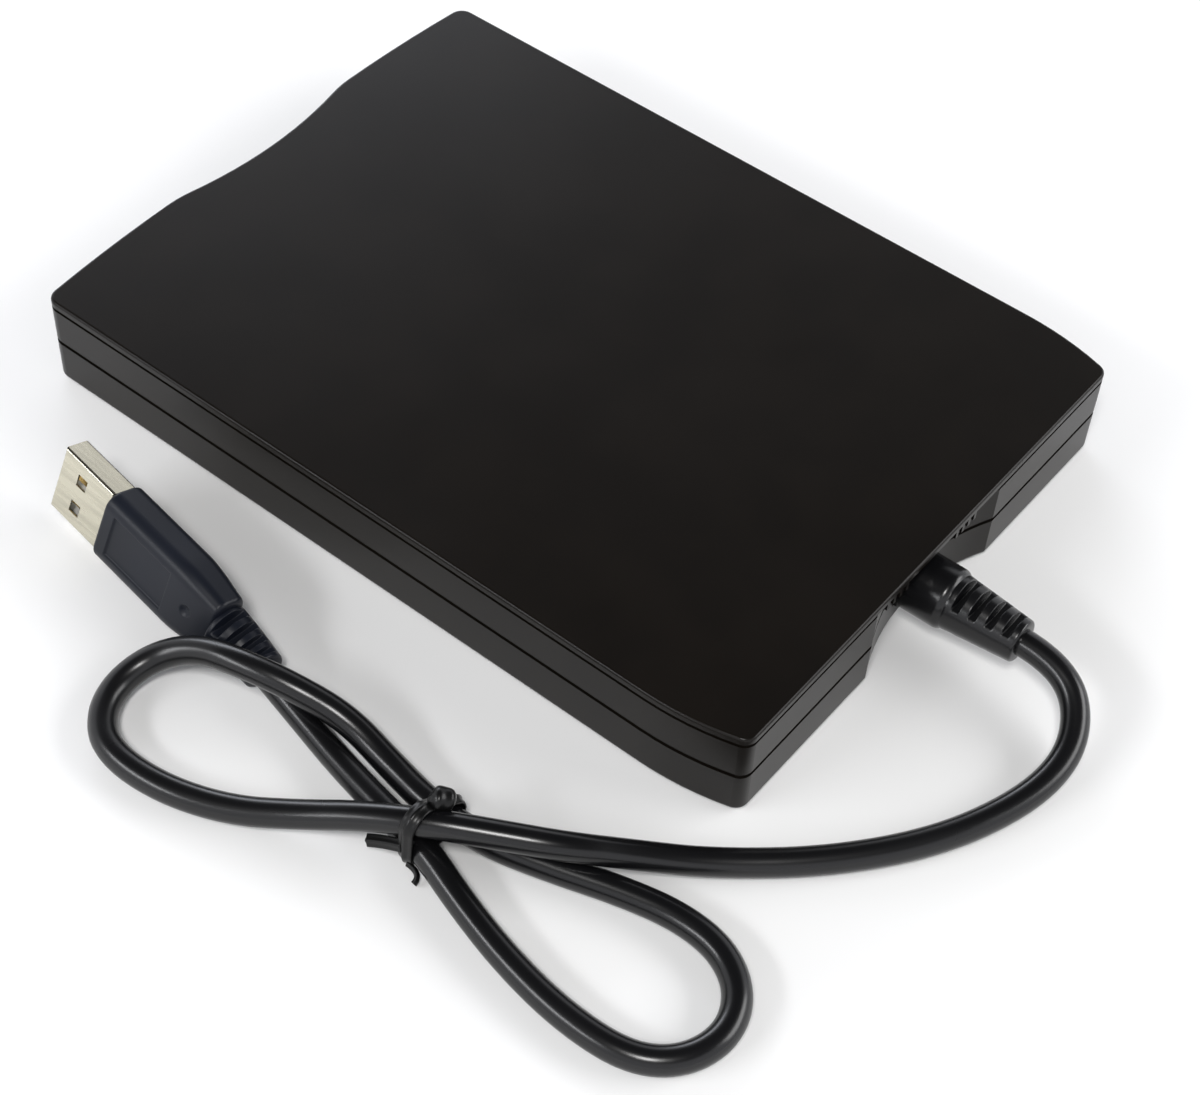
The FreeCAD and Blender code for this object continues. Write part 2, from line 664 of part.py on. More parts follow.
def make_bottom_case():
    """Lower shell: floor with foot pockets and screw bosses, walls, and two screw posts."""
    body = slab(True, 0, FOOT_STAND_OFF, SEAM_HEIGHT)
    body = body.makeFillet(BOTTOM_EDGE_ROUND, edges_at_height(body, FOOT_STAND_OFF))
    body = body.cut(slab(True, WALL, FLOOR_TOP, SEAM_HEIGHT + 1))
    body = body.cut(groove_ring(SEAM_HEIGHT - SEAM_GROOVE, SEAM_HEIGHT, SEAM_GROOVE))
    body = body.cut(bezel_opening())
    body = body.cut(gland_passage())
    added = []
    for place in case_screw_places():
        low = V(place.x, place.y, FLOOR_TOP - 0.2)
        added.append(rod(CASE_POST_RADIUS, low, Z_DIR, SEAM_HEIGHT - low.z))
    for place in drive_screw_places():
        low = V(place.x, place.y, FLOOR_TOP - 0.2)
        added.append(rod(SCREW_BOSS_RADIUS, low, Z_DIR, DRIVE_LOW - low.z))
    for x in USB_BOARD_X:
        inward = 3.0 if x < sum(USB_BOARD_X) / 2 else -3.0
        low = V(x + inward, USB_BOARD_FRONT_Y + 2.0, FLOOR_TOP - 0.2)
        added.append(rod(STUD_RADIUS, low, Z_DIR, usb_board_low() - low.z))
    body = fuse([body] + added)
    pocket_depth = FOOT_THICKNESS - FOOT_STAND_OFF
    for place in foot_places():
        low = V(place.x, place.y, FOOT_STAND_OFF - 0.1)
        body = body.cut(rod(FOOT_RADIUS + PART_CLEARANCE, low, Z_DIR, pocket_depth + 0.1))
    screws = [(p, CASE_SCREW_RADIUS) for p in case_screw_places()]
    screws += [(p, DRIVE_SCREW_RADIUS) for p in drive_screw_places()]
    for place, radius in screws:
        low = V(place.x, place.y, FOOT_STAND_OFF - 0.1)
        head_depth = SCREW_HEAD_LOW + SCREW_HEAD_HEIGHT - low.z
        body = body.cut(rod(SCREW_HEAD_RADIUS + SCREW_CLEARANCE, low, Z_DIR, head_depth))
        body = body.cut(rod(radius + SCREW_CLEARANCE, low, Z_DIR, SEAM_HEIGHT))
    return body


def make_feet():
    """Four round rubber pads."""
    return Part.makeCompound([rod(FOOT_RADIUS, p, Z_DIR, FOOT_THICKNESS) for p in foot_places()])


def screw(place, radius, length):
    """A small pan-head screw that points up, with a cross slot in its head."""
    head_low = V(place.x, place.y, SCREW_HEAD_LOW)
    head = rod(SCREW_HEAD_RADIUS, head_low, Z_DIR, SCREW_HEAD_HEIGHT)
    shank = rod(radius, head_low, Z_DIR, SCREW_HEAD_HEIGHT + length)
    solid = head.fuse(shank)
    arm = SCREW_HEAD_RADIUS * 0.6
    half = SCREW_SOCKET_WIDTH / 2
    for size_x, size_y in ((arm, half), (half, arm)):
        cut = block((place.x - size_x, place.x + size_x), (place.y - size_y, place.y + size_y),
                    (head_low.z - 0.1, head_low.z + SCREW_SOCKET_DEPTH))
        solid = solid.cut(cut)
    return solid


def make_case_screws():
    return Part.makeCompound([screw(p, CASE_SCREW_RADIUS, CASE_SCREW_LENGTH) for p in case_screw_places()])


def make_drive_screws():
    length = PLATE_TOP - SCREW_HEAD_LOW - SCREW_HEAD_HEIGHT
    return Part.makeCompound([screw(p, DRIVE_SCREW_RADIUS, length) for p in drive_screw_places()])


def button_box(grow, y_range):
    """The eject button's section, grown on every side, between two depths."""
    low = FLOOR_TOP + BUTTON_LOW_ABOVE_FLOOR
    half = BUTTON_WIDTH / 2 + grow
    return block((BUTTON_X - half, BUTTON_X + half), y_range, (low - grow, low + BUTTON_HEIGHT + grow))


def lamp_box(grow, y_range):
    """The indicator's section, grown on every side, between two depths."""
    low = FLOOR_TOP + BUTTON_LOW_ABOVE_FLOOR + (BUTTON_HEIGHT - LAMP_HEIGHT) / 2
    half = LAMP_WIDTH / 2 + grow
    return block((LAMP_X - half, LAMP_X + half), y_range, (low - grow, low + LAMP_HEIGHT + grow))


def make_front_bezel():
    """Front plate with the disk slot, holes for button and lamp, and ears for the flap."""
    half = BEZEL_WIDTH / 2
    plate = block((-half, half), (BEZEL_FACE_Y, BEZEL_BACK_Y), (FLOOR_TOP + 0.1, CEILING - 0.1))
    slot_half = SLOT_WIDTH / 2
    through = (BEZEL_FACE_Y - 1, BEZEL_BACK_Y + 1)
    plate = plate.cut(block((-slot_half, slot_half), through, (SLOT_LOW, SLOT_TOP)))
    mouth = V(0, BEZEL_FACE_Y, (SLOT_LOW + SLOT_TOP) / 2)
    rings = []
    for grow, back in ((SLOT_FUNNEL, -0.001), (0.0, SLOT_FUNNEL)):
        x = slot_half + grow
        z = SLOT_HEIGHT / 2 + grow
        y = mouth.y + back
        corners = [V(-x, y, mouth.z - z), V(x, y, mouth.z - z), V(x, y, mouth.z + z), V(-x, y, mouth.z + z)]
        rings.append(Part.makePolygon(corners + corners[:1]))
    plate = plate.cut(Part.makeLoft(rings, True, True))
    plate = plate.cut(button_box(PART_CLEARANCE, through))
    plate = plate.cut(lamp_box(SHAFT_CLEARANCE, through))
    ear_outer = half - 0.1
    ear_top = FLAP_PIVOT_Z + FLAP_BARREL_RADIUS
    ear = block((ear_outer - FLAP_EAR_THICKNESS, ear_outer), (BEZEL_BACK_Y - 0.1, FLAP_PIVOT_Y + 1.0),
                (SLOT_TOP - 0.6, ear_top))
    pin_start = V(ear_outer - 2, FLAP_PIVOT_Y, FLAP_PIVOT_Z)
    ear = ear.cut(rod(FLAP_PIN_RADIUS + SHAFT_CLEARANCE, pin_start, X_DIR, 4))
    return fuse([plate] + both_sides(ear))


def make_slot_flap():
    """Dust flap behind the slot, hung from a barrel with a pin at each end."""
    ear_outer = BEZEL_WIDTH / 2 - 0.1
    half = ear_outer - FLAP_EAR_THICKNESS - SLIDE_CLEARANCE
    low = SLOT_LOW + FLAP_OVERLAP
    half_thick = FLAP_THICKNESS / 2
    panel = block((-half, half), (FLAP_PIVOT_Y - half_thick, FLAP_PIVOT_Y + half_thick),
                  (low, FLAP_PIVOT_Z))
    barrel = rod(FLAP_BARREL_RADIUS, V(-half, FLAP_PIVOT_Y, FLAP_PIVOT_Z), X_DIR, 2 * half)
    pin_reach = ear_outer - 0.2
    pins = rod(FLAP_PIN_RADIUS, V(-pin_reach, FLAP_PIVOT_Y, FLAP_PIVOT_Z), X_DIR, 2 * pin_reach)
    return fuse([panel, barrel, pins])


def make_eject_button():
    """Rectangular push button with rounded front edges."""
    button = button_box(0, (BEZEL_FACE_Y - BUTTON_PROUD, SLIDER_FRONT_Y))
    front = []
    for edge in button.Edges:
        if edge.BoundBox.YMax < BEZEL_FACE_Y - BUTTON_PROUD + 1e-4:
            front.append(edge)
    return button.makeFillet(0.4, front)


def make_light_pipe():
    """Clear bar that carries the lamp's light to the bezel."""
    front = BEZEL_FACE_Y - LAMP_PROUD
    return lamp_box(0, (front, front + LAMP_LENGTH))


def make_drive_chassis():
    """Folded sheet tray: plate, side walls and rear wall, with rod seats and spring tabs."""
    half = DRIVE_WIDTH / 2
    tray = block((-half, half), (DRIVE_FRONT_Y, DRIVE_REAR_Y), (DRIVE_LOW, LID_LOW))
    tray = tray.cut(block((-WALL_INNER_X, WALL_INNER_X), (DRIVE_FRONT_Y - 1, DRIVE_REAR_Y - SHEET),
                          (PLATE_TOP, LID_LOW + 1)))
    ribbon_half = RIBBON_WIDTH / 2 + 1.0
    tray = tray.cut(block((RIBBON_X - ribbon_half, RIBBON_X + ribbon_half),
                          (DRIVE_REAR_Y - 2, DRIVE_REAR_Y + 1),
                          (PLATE_TOP + RIBBON_OPENING[0], PLATE_TOP + RIBBON_OPENING[1])))
    slot_half = CAGE_PIN_RADIUS + PIN_SLOT_CLEARANCE
    slot_low = CAGE_PIN_Z - DISK_DROP - slot_half - 0.1
    slot_high = CAGE_PIN_Z + slot_half + 0.3
    for y in (CAGE_PIN_FRONT_Y, CAGE_PIN_REAR_Y):
        slot = block((WALL_INNER_X - 1, half + 1), (y - slot_half, y + slot_half), (slot_low, slot_high))
        for piece in both_sides(slot):
            tray = tray.cut(piece)
    for y in (-LID_TAB_Y, LID_TAB_Y):
        hole = rod(LID_SCREW_RADIUS + THREAD_CLEARANCE, V(WALL_INNER_X - 1, y, lid_screw_z()), X_DIR, 4)
        for piece in both_sides(hole):
            tray = tray.cut(piece)
    for place in drive_screw_places():
        low = V(place.x, place.y, DRIVE_LOW - 1)
        tray = tray.cut(rod(DRIVE_SCREW_RADIUS + THREAD_CLEARANCE, low, Z_DIR, SHEET + 2))
    added = []
    seat_half = ROD_SEAT_WIDTH / 2
    rear_seat = (DRIVE_REAR_Y - SHEET - ROD_SEAT_DEPTH, DRIVE_REAR_Y - SHEET + 0.1)
    for y_range in ((ROD_FRONT_Y, ROD_FRONT_Y + ROD_SEAT_DEPTH), rear_seat):
        seat = block((ROD_X - seat_half, ROD_X + seat_half), y_range,
                     (PLATE_TOP - 0.1, ROD_Z + ROD_RADIUS + 0.1))
        seat = seat.cut(rod(ROD_RADIUS + THREAD_CLEARANCE, V(ROD_X, y_range[0] - 0.1, ROD_Z), Y_DIR,
                            ROD_SEAT_DEPTH + 0.1))
        added.extend(both_sides(seat))
    tab = block((SPRING_X - SPRING_TAB_WIDTH / 2, SPRING_X + SPRING_TAB_WIDTH / 2),
                (SPRING_FRONT_Y - SHEET, SPRING_FRONT_Y), (PLATE_TOP - 0.1, PLATE_TOP + SPRING_TAB_HEIGHT))
    added.extend(both_sides(tab))
    bracket = block((SCREW_X - 3, SCREW_X + 3), (BRACKET_FRONT_Y, BRACKET_FRONT_Y + BRACKET_THICKNESS),
                    (PLATE_TOP - 0.1, SCREW_Z + 2.4))
    bracket = bracket.cut(rod(JOURNAL_RADIUS + SHAFT_CLEARANCE,
                              V(SCREW_X, BRACKET_FRONT_Y - 1, SCREW_Z), Y_DIR, 4))
    added.append(bracket)
    mount = block((SCREW_X - 4, SCREW_X + 4), (STEPPER_FRONT_Y - 0.9, STEPPER_FRONT_Y),
                  (PLATE_TOP - 0.1, SCREW_Z + 3.4))
    mount = mount.cut(rod(LEAD_SCREW_RADIUS + SLIDE_CLEARANCE, V(SCREW_X, STEPPER_FRONT_Y - 2, SCREW_Z),
                          Y_DIR, 4))
    added.append(mount)
    for place in board_stud_places():
        low = V(place.x, place.y, PLATE_TOP - 0.1)
        added.append(rod(STUD_RADIUS, low, Z_DIR, BOARD_STAND_OFF + 0.1))
    return fuse([tray] + added)


def board_stud_places():
    """Where the drive's board stands on low studs."""
    places = []
    for x in (DRIVE_BOARD_X[0] + STUD_INSET, DRIVE_BOARD_X[1] - STUD_INSET):
        for y in (DRIVE_BOARD_Y[0] + STUD_INSET, DRIVE_BOARD_Y[1] - STUD_INSET):
            places.append(V(x, y, 0))
    return places


def lid_screw_z():
    """Height of the small screws at the lid's tabs."""
    return LID_LOW - LID_TAB_DROP / 2


def make_drive_lid():
    """Thin sheet lid with four tabs that fold down outside the chassis."""
    half = DRIVE_WIDTH / 2
    lid = block((-half, half), (DRIVE_FRONT_Y, DRIVE_REAR_Y), (LID_LOW, DRIVE_TOP))
    tabs = []
    for y in (-LID_TAB_Y, LID_TAB_Y):
        tab = block((half, half + LID_TAB_SHEET), (y - LID_TAB_WIDTH / 2, y + LID_TAB_WIDTH / 2),
                    (LID_LOW - LID_TAB_DROP, DRIVE_TOP))
        tab = tab.cut(rod(LID_SCREW_RADIUS + THREAD_CLEARANCE, V(half - 1, y, lid_screw_z()), X_DIR, 4))
        tabs.extend(both_sides(tab))
    return fuse([lid] + tabs)


def make_lid_screws():
    """Four tiny screws through the lid's tabs."""
    screws = []
    for y in (-LID_TAB_Y, LID_TAB_Y):
        outer = DRIVE_WIDTH / 2 + LID_TAB_SHEET
        shank = rod(LID_SCREW_RADIUS, V(WALL_INNER_X, y, lid_screw_z()), X_DIR, outer - WALL_INNER_X)
        head = rod(LID_SCREW_HEAD_RADIUS, V(outer, y, lid_screw_z()), X_DIR, LID_SCREW_HEAD_HEIGHT)
        screws.extend(both_sides(shank.fuse(head)))
    return Part.makeCompound(screws)


def lever_feeler_path(radius, low, high):
    """The curved slot that the lever's feeler sweeps through the cage's top."""
    height = high - low
    pivot = V(LEVER_X, LEVER_Y, low)
    ends = []
    for angle in (LEVER_REST_ANGLE, LEVER_REST_ANGLE + LEVER_SWEEP):
        ends.append(rod(radius, lever_point(LEVER_REACH, angle) + Z_DIR * low, Z_DIR, height))
    ring = rod(LEVER_REACH + radius, pivot, Z_DIR, height)
    ring = ring.cut(rod(LEVER_REACH - radius, pivot, Z_DIR, height))
    sector = Part.makeCylinder(LEVER_REACH + radius + 1, height, pivot, Z_DIR, LEVER_SWEEP)
    sector.rotate(pivot, Z_DIR, LEVER_REST_ANGLE)
    return fuse([ring.common(sector)] + ends)


def make_disk_cage():
    """Folded sheet holder for the disk: top, sides and bottom rails, open in front and below."""
    cage = block((-CAGE_OUTER_X, CAGE_OUTER_X), (CAGE_FRONT_Y, CAGE_REAR_Y),
                 (CAGE_INNER_LOW - CAGE_SHEET, CAGE_TOP))
    cage = cage.cut(block((-CAGE_INNER_X, CAGE_INNER_X), (CAGE_FRONT_Y - 1, CAGE_REAR_Y + 1),
                          (CAGE_INNER_LOW, CAGE_INNER_TOP)))
    rail_inner = CAGE_OUTER_X - CAGE_RAIL_WIDTH
    cage = cage.cut(block((-rail_inner, rail_inner), (CAGE_FRONT_Y - 1, CAGE_REAR_Y + 1),
                          (CAGE_INNER_LOW - CAGE_SHEET - 1, CAGE_INNER_LOW + 1)))
    cage = cage.cut(block((-CAGE_WINDOW_HALF_WIDTH, CAGE_WINDOW_HALF_WIDTH),
                          (CAGE_WINDOW_FRONT_Y, CAGE_REAR_Y + 1), (CAGE_INNER_TOP - 1, CAGE_TOP + 1)))
    path = lever_feeler_path(LEVER_FEELER_RADIUS + SLIDE_CLEARANCE, CAGE_INNER_TOP - 0.5, CAGE_TOP + 0.5)
    return cage.cut(path)


def make_cage_pins():
    """Four pins riveted to the cage's sides, which ride in the slider's slanted slots."""
    pins = []
    for y in (CAGE_PIN_FRONT_Y, CAGE_PIN_REAR_Y):
        length = DRIVE_WIDTH / 2 - 0.2 - CAGE_OUTER_X
        pins.extend(both_sides(rod(CAGE_PIN_RADIUS, V(CAGE_OUTER_X, y, CAGE_PIN_Z), X_DIR, length)))
    return Part.makeCompound(pins)


def slanted_slot(y):
    """The slot that lowers a cage pin as the slider comes forward."""
    radius = CAGE_PIN_RADIUS + PIN_SLOT_CLEARANCE
    slope = DISK_DROP / BUTTON_TRAVEL
    start = V(SLIDER_INNER_X - 1, y - SLIDER_OVER_TRAVEL, CAGE_PIN_Z + SLIDER_OVER_TRAVEL * slope)
    end = V(SLIDER_INNER_X - 1, y + BUTTON_TRAVEL, CAGE_PIN_Z - DISK_DROP)
    along = end - start
    length = along.Length
    middle = Part.makeBox(SLIDER_SHEET + 2, length, 2 * radius, V(0, 0, -radius))
    middle.rotate(V(0, 0, 0), X_DIR, math.degrees(math.atan2(along.z, along.y)))
    middle.translate(start)
    ends = [rod(radius, point, X_DIR, SLIDER_SHEET + 2) for point in (start, end)]
    return fuse([middle] + ends)


def make_eject_slider():
    """U-shaped sheet that slides under the cage, with flanges, slanted slots and tabs."""
    strip_inner = SLIDER_OUTER_X - SLIDER_STRIP_WIDTH
    strip = block((strip_inner, SLIDER_OUTER_X), (SLIDER_FRONT_Y, SLIDER_REAR_Y), (SLIDER_LOW, SLIDER_TOP))
    flange = block((SLIDER_INNER_X, SLIDER_OUTER_X), (SLIDER_FLANGE_FRONT_Y, SLIDER_FLANGE_REAR_Y),
                   (SLIDER_LOW, CAGE_PIN_Z + SLIDER_FLANGE_ABOVE_PIN))
    for y in (CAGE_PIN_FRONT_Y, CAGE_PIN_REAR_Y):
        flange = flange.cut(slanted_slot(y))
    ear_low = SPRING_X - SPRING_TAB_WIDTH / 2
    ear = block((ear_low, strip_inner + 0.5), (SPRING_REAR_Y, SPRING_REAR_Y + SLIDER_SHEET * 2),
                (SLIDER_LOW, SLIDER_TOP))
    hook = block((ear_low, SPRING_X + SPRING_TAB_WIDTH / 2), (SPRING_REAR_Y, SPRING_REAR_Y + SLIDER_SHEET),
                 (SLIDER_LOW, PLATE_TOP + SPRING_TAB_HEIGHT))
    cross = block((-SLIDER_OUTER_X, SLIDER_OUTER_X), (SLIDER_FRONT_Y, SLIDER_FRONT_Y + SLIDER_CROSS_DEPTH),
                  (SLIDER_LOW, SLIDER_TOP))
    tab = block((BUTTON_X - BUTTON_WIDTH / 2 + 1, BUTTON_X + BUTTON_WIDTH / 2 - 1),
                (SLIDER_FRONT_Y, SLIDER_FRONT_Y + SLIDER_SHEET),
                (SLIDER_LOW, FLOOR_TOP + BUTTON_LOW_ABOVE_FLOOR + BUTTON_HEIGHT - 0.2))
    pieces = [cross, tab]
    for piece in (strip, flange, ear, hook):
        pieces.extend(both_sides(piece))
    slider = fuse(pieces)
    for place in drive_screw_places():
        if place.y < 0:
            low = V(place.x, place.y, SLIDER_LOW - 1)
            slider = slider.cut(rod(SLIDER_SCREW_CLEARANCE, low, Z_DIR, SLIDER_SHEET + 2))
    return slider


def coil_spring(start, direction, length, radius, wire, turns):
    """An extension spring as one helical wire."""
    helix = Part.makeHelix(length / turns, length, radius)
    circle = Part.Wire(Part.makeCircle(wire, V(radius, 0, 0), Y_DIR))
    spring = Part.Wire(helix).makePipeShell([circle], True, True)
    spring.Placement = FreeCAD.Placement(start, FreeCAD.Rotation(Z_DIR, direction))
    return spring


def make_slider_spring(side):
    """One of the two springs that push the button out when the latch lets go."""
    gap = 2 * SPRING_WIRE
    start = V(side * SPRING_X, SPRING_FRONT_Y + gap, SLIDER_TOP + SPRING_RADIUS + SPRING_WIRE + 0.1)
    length = SPRING_REAR_Y - SPRING_FRONT_Y - 2 * gap
    return coil_spring(start, Y_DIR, length, SPRING_RADIUS, SPRING_WIRE, SPRING_TURNS)


def lever_point(reach, angle):
    """A point at some reach from the lever's pivot."""
    turn = math.radians(angle)
    return V(LEVER_X + reach * math.cos(turn), LEVER_Y + reach * math.sin(turn), 0)


def make_shutter_lever():
    """Flat lever that opens the disk's shutter, with a feeler that reaches down into the cage."""
    low = CAGE_TOP + PART_CLEARANCE
    arm = Part.makeBox(LEVER_REACH + LEVER_TAIL, LEVER_ARM_WIDTH, LEVER_SHEET,
                       V(-LEVER_TAIL, -LEVER_ARM_WIDTH / 2, 0))
    arm.rotate(V(0, 0, 0), Z_DIR, LEVER_REST_ANGLE)
    arm.translate(V(LEVER_X, LEVER_Y, low))
    hub = rod(LEVER_HUB_RADIUS, V(LEVER_X, LEVER_Y, low), Z_DIR, LEVER_SHEET)
    tip = lever_point(LEVER_REACH, LEVER_REST_ANGLE)
    pad = rod(LEVER_ARM_WIDTH / 2, V(tip.x, tip.y, low), Z_DIR, LEVER_SHEET)
    feeler = rod(LEVER_FEELER_RADIUS, V(tip.x, tip.y, CAGE_TOP - LEVER_FEELER_DEPTH), Z_DIR,
                 LEVER_FEELER_DEPTH + LEVER_SHEET + PART_CLEARANCE)
    lever = fuse([arm, hub, pad, feeler])
    return lever.cut(rod(LEVER_POST_RADIUS + SHAFT_CLEARANCE, V(LEVER_X, LEVER_Y, low - 1), Z_DIR, 4))


def make_lever_post():
    """Shouldered rivet on the cage that the shutter lever turns on."""
    reach = LEVER_SHEET + 2 * PART_CLEARANCE
    post = rod(LEVER_POST_RADIUS, V(LEVER_X, LEVER_Y, CAGE_TOP), Z_DIR, reach)
    head = rod(LEVER_POST_HEAD_RADIUS, V(LEVER_X, LEVER_Y, CAGE_TOP + reach), Z_DIR, LEVER_POST_HEAD_HEIGHT)
    return post.fuse(head)


def make_lever_spring():
    """Small extension spring from the lever's tail to the cage."""
    tail = lever_point(-LEVER_TAIL - LEVER_SPRING_RADIUS, LEVER_REST_ANGLE)
    height = CAGE_TOP + LEVER_SPRING_RADIUS + LEVER_SPRING_WIRE + 0.05
    start = V(tail.x, tail.y, height)
    direction = V(-1, -0.25, 0).normalize()
    return coil_spring(start, direction, LEVER_SPRING_LENGTH, LEVER_SPRING_RADIUS, LEVER_SPRING_WIRE,
                       LEVER_SPRING_TURNS)


def make_motor_board():
    """Round board under the spindle motor."""
    centre = V(0, SPINDLE_Y, PLATE_TOP)
    board = rod(MOTOR_BOARD_RADIUS, centre, Z_DIR, MOTOR_BOARD_THICKNESS)
    return board.cut(rod(BEARING_RADIUS + PART_CLEARANCE, centre - Z_DIR, Z_DIR, 3))


def make_stator_coils():
    """Flat coils in a ring on the motor board."""
    low = PLATE_TOP + MOTOR_BOARD_THICKNESS
    half = COIL_WIDTH / 2
    coils = []
    for index in range(COIL_COUNT):
        coil = block((COIL_INNER_RADIUS, COIL_OUTER_RADIUS), (-half, half), (0, COIL_HEIGHT))
        hole = block((COIL_INNER_RADIUS + COIL_SIDE, COIL_OUTER_RADIUS - COIL_SIDE),
                     (COIL_SIDE - half, half - COIL_SIDE), (-1, COIL_HEIGHT + 1))
        coil = coil.cut(hole)
        coil.rotate(V(0, 0, 0), Z_DIR, 360.0 * index / COIL_COUNT)
        coil.translate(V(0, SPINDLE_Y, low))
        coils.append(coil)
    return Part.makeCompound(coils)


def make_spindle_bearing():
    """Sleeve bearing fixed in the chassis plate."""
    centre = V(0, SPINDLE_Y, PLATE_TOP)
    height = ROTOR_TOP_ABOVE_PLATE - ROTOR_SHEET - SLIDE_CLEARANCE
    sleeve = rod(BEARING_RADIUS, centre, Z_DIR, height)
    return sleeve.cut(rod(SPINDLE_RADIUS + SHAFT_CLEARANCE, centre - Z_DIR, Z_DIR, height + 2))


def make_rotor():
    """Steel cup that turns over the coils."""
    centre = V(0, SPINDLE_Y, 0)
    low = PLATE_TOP + MOTOR_BOARD_THICKNESS + ROTOR_SKIRT_GAP
    cup = rod(ROTOR_RADIUS, centre + Z_DIR * low, Z_DIR, ROTOR_TOP - low)
    inside = rod(ROTOR_RADIUS - ROTOR_SHEET, centre + Z_DIR * (low - 1), Z_DIR,
                 ROTOR_TOP - ROTOR_SHEET - low + 1)
    cup = cup.cut(inside)
    return cup.cut(rod(SPINDLE_RADIUS + THREAD_CLEARANCE, centre + Z_DIR * low, Z_DIR, 5))


def make_spindle_hub():
    """Spindle with the flat hub that the disk sits on."""
    centre = V(0, SPINDLE_Y, 0)
    hub = rod(HUB_RADIUS, centre + Z_DIR * ROTOR_TOP, Z_DIR, HUB_THICKNESS)
    spindle_low = PLATE_TOP + PART_CLEARANCE
    spindle = rod(SPINDLE_RADIUS, centre + Z_DIR * spindle_low, Z_DIR, SPINDLE_TOP - spindle_low)
    return hub.fuse(spindle)


def make_drive_pin():
    """Pin on the hub that catches the disk's drive hole."""
    low = V(DRIVE_PIN_OFFSET, SPINDLE_Y, HUB_TOP)
    return rod(DRIVE_PIN_RADIUS, low, Z_DIR, DRIVE_PIN_HEIGHT)


def make_guide_rod(side):
    """Polished rod that the head carriage slides on."""
    start = V(side * ROD_X, ROD_FRONT_Y, ROD_Z)
    return rod(ROD_RADIUS, start, Y_DIR, DRIVE_REAR_Y - SHEET - ROD_FRONT_Y)


def make_head_carriage():
    """Carriage with a bore and a fork for the rods, the lower arm, ears and a thread follower."""
    rear = CARRIAGE_FRONT_Y + CARRIAGE_DEPTH
    body = block((-CARRIAGE_HALF_WIDTH, CARRIAGE_HALF_WIDTH), (CARRIAGE_FRONT_Y, rear),
                 (CARRIAGE_LOW, CARRIAGE_TOP))
    fit = ROD_RADIUS + SHAFT_CLEARANCE
    body = body.cut(rod(fit, V(-ROD_X, CARRIAGE_FRONT_Y - 1, ROD_Z), Y_DIR, CARRIAGE_DEPTH + 2))
    body = body.cut(block((ROD_X - fit, CARRIAGE_HALF_WIDTH + 1), (CARRIAGE_FRONT_Y - 1, rear + 1),
                          (ROD_Z - fit, ROD_Z + fit)))
    arm_half = CARRIAGE_ARM_WIDTH / 2
    arm_low = CARRIAGE_LOW + CARRIAGE_ARM_LIFT
    arm = block((-arm_half, arm_half), (HEAD_Y - HEAD_SIZE / 2 - HEAD_MARGIN, CARRIAGE_FRONT_Y + 0.5),
                (arm_low, arm_low + CARRIAGE_ARM_THICKNESS))
    ear_inner = ear_inner_x()
    ear = block((ear_inner, ear_inner + ARM_EAR_THICKNESS),
                (ARM_PIVOT_Y - ARM_EAR_HALF_DEPTH, ARM_PIVOT_Y + ARM_EAR_HALF_DEPTH),
                (CARRIAGE_TOP - 0.1, ARM_PIVOT_Z + 1.0))
    pin_start = V(ear_inner - 1, ARM_PIVOT_Y, ARM_PIVOT_Z)
    ear = ear.cut(rod(ARM_PIN_RADIUS + THREAD_CLEARANCE, pin_start, X_DIR, ARM_EAR_THICKNESS + 2))
    follower_end = SCREW_X - LEAD_SCREW_RADIUS - PART_CLEARANCE
    follower = block((CARRIAGE_HALF_WIDTH - 4, follower_end),
                     (CARRIAGE_FRONT_Y, CARRIAGE_FRONT_Y + FOLLOWER_LENGTH),
                     (CARRIAGE_TOP - 0.2, SCREW_Z + 0.5))
    return fuse([body, arm, follower] + both_sides(ear))


def ear_inner_x():
    """Inner face of the carriage ears that hold the upper arm's pin."""
    return ARM_FRONT_WIDTH / 2 + ARM_ROOT_WIDENING + SLIDE_CLEARANCE


def make_lower_head():
    """Ceramic slider with the magnetic head, below the disk."""
    half = HEAD_SIZE / 2
    low = CARRIAGE_LOW + CARRIAGE_ARM_LIFT + CARRIAGE_ARM_THICKNESS
    head = block((-half, half), (HEAD_Y - half, HEAD_Y + half), (low, HEAD_FACE))
    groove = block((-HEAD_GROOVE_WIDTH / 2, HEAD_GROOVE_WIDTH / 2),
                   (HEAD_Y - half - 1, HEAD_Y + half + 1), (HEAD_FACE - HEAD_GROOVE_DEPTH, HEAD_FACE + 1))
    return head.cut(groove)


def make_head_arm():
    """Upper arm: flat plate with a barrel at its hinge."""
    half = ARM_FRONT_WIDTH / 2
    root = half + ARM_ROOT_WIDENING
    plate = block((-half, half), (HEAD_Y - HEAD_SIZE / 2 - HEAD_MARGIN, ARM_PIVOT_Y), (ARM_LOW, ARM_TOP))
    barrel = rod(ARM_BARREL_RADIUS, V(-root, ARM_PIVOT_Y, ARM_PIVOT_Z), X_DIR, 2 * root)
    arm = fuse([plate, barrel])
    bore_start = V(-root - 1, ARM_PIVOT_Y, ARM_PIVOT_Z)
    return arm.cut(rod(ARM_PIN_RADIUS + SHAFT_CLEARANCE, bore_start, X_DIR, 2 * root + 2))


def make_upper_head():
    """Ceramic slider with the magnetic head, above the disk."""
    half = HEAD_SIZE / 2
    return block((-half, half), (HEAD_Y - half, HEAD_Y + half),
                 (ARM_LOW - UPPER_HEAD_THICKNESS, ARM_LOW))


def make_arm_pin():
    """Pin through the carriage ears and the upper arm's barrel."""
    reach = ear_inner_x() + ARM_EAR_THICKNESS
    return rod(ARM_PIN_RADIUS, V(-reach, ARM_PIVOT_Y, ARM_PIVOT_Z), X_DIR, 2 * reach)


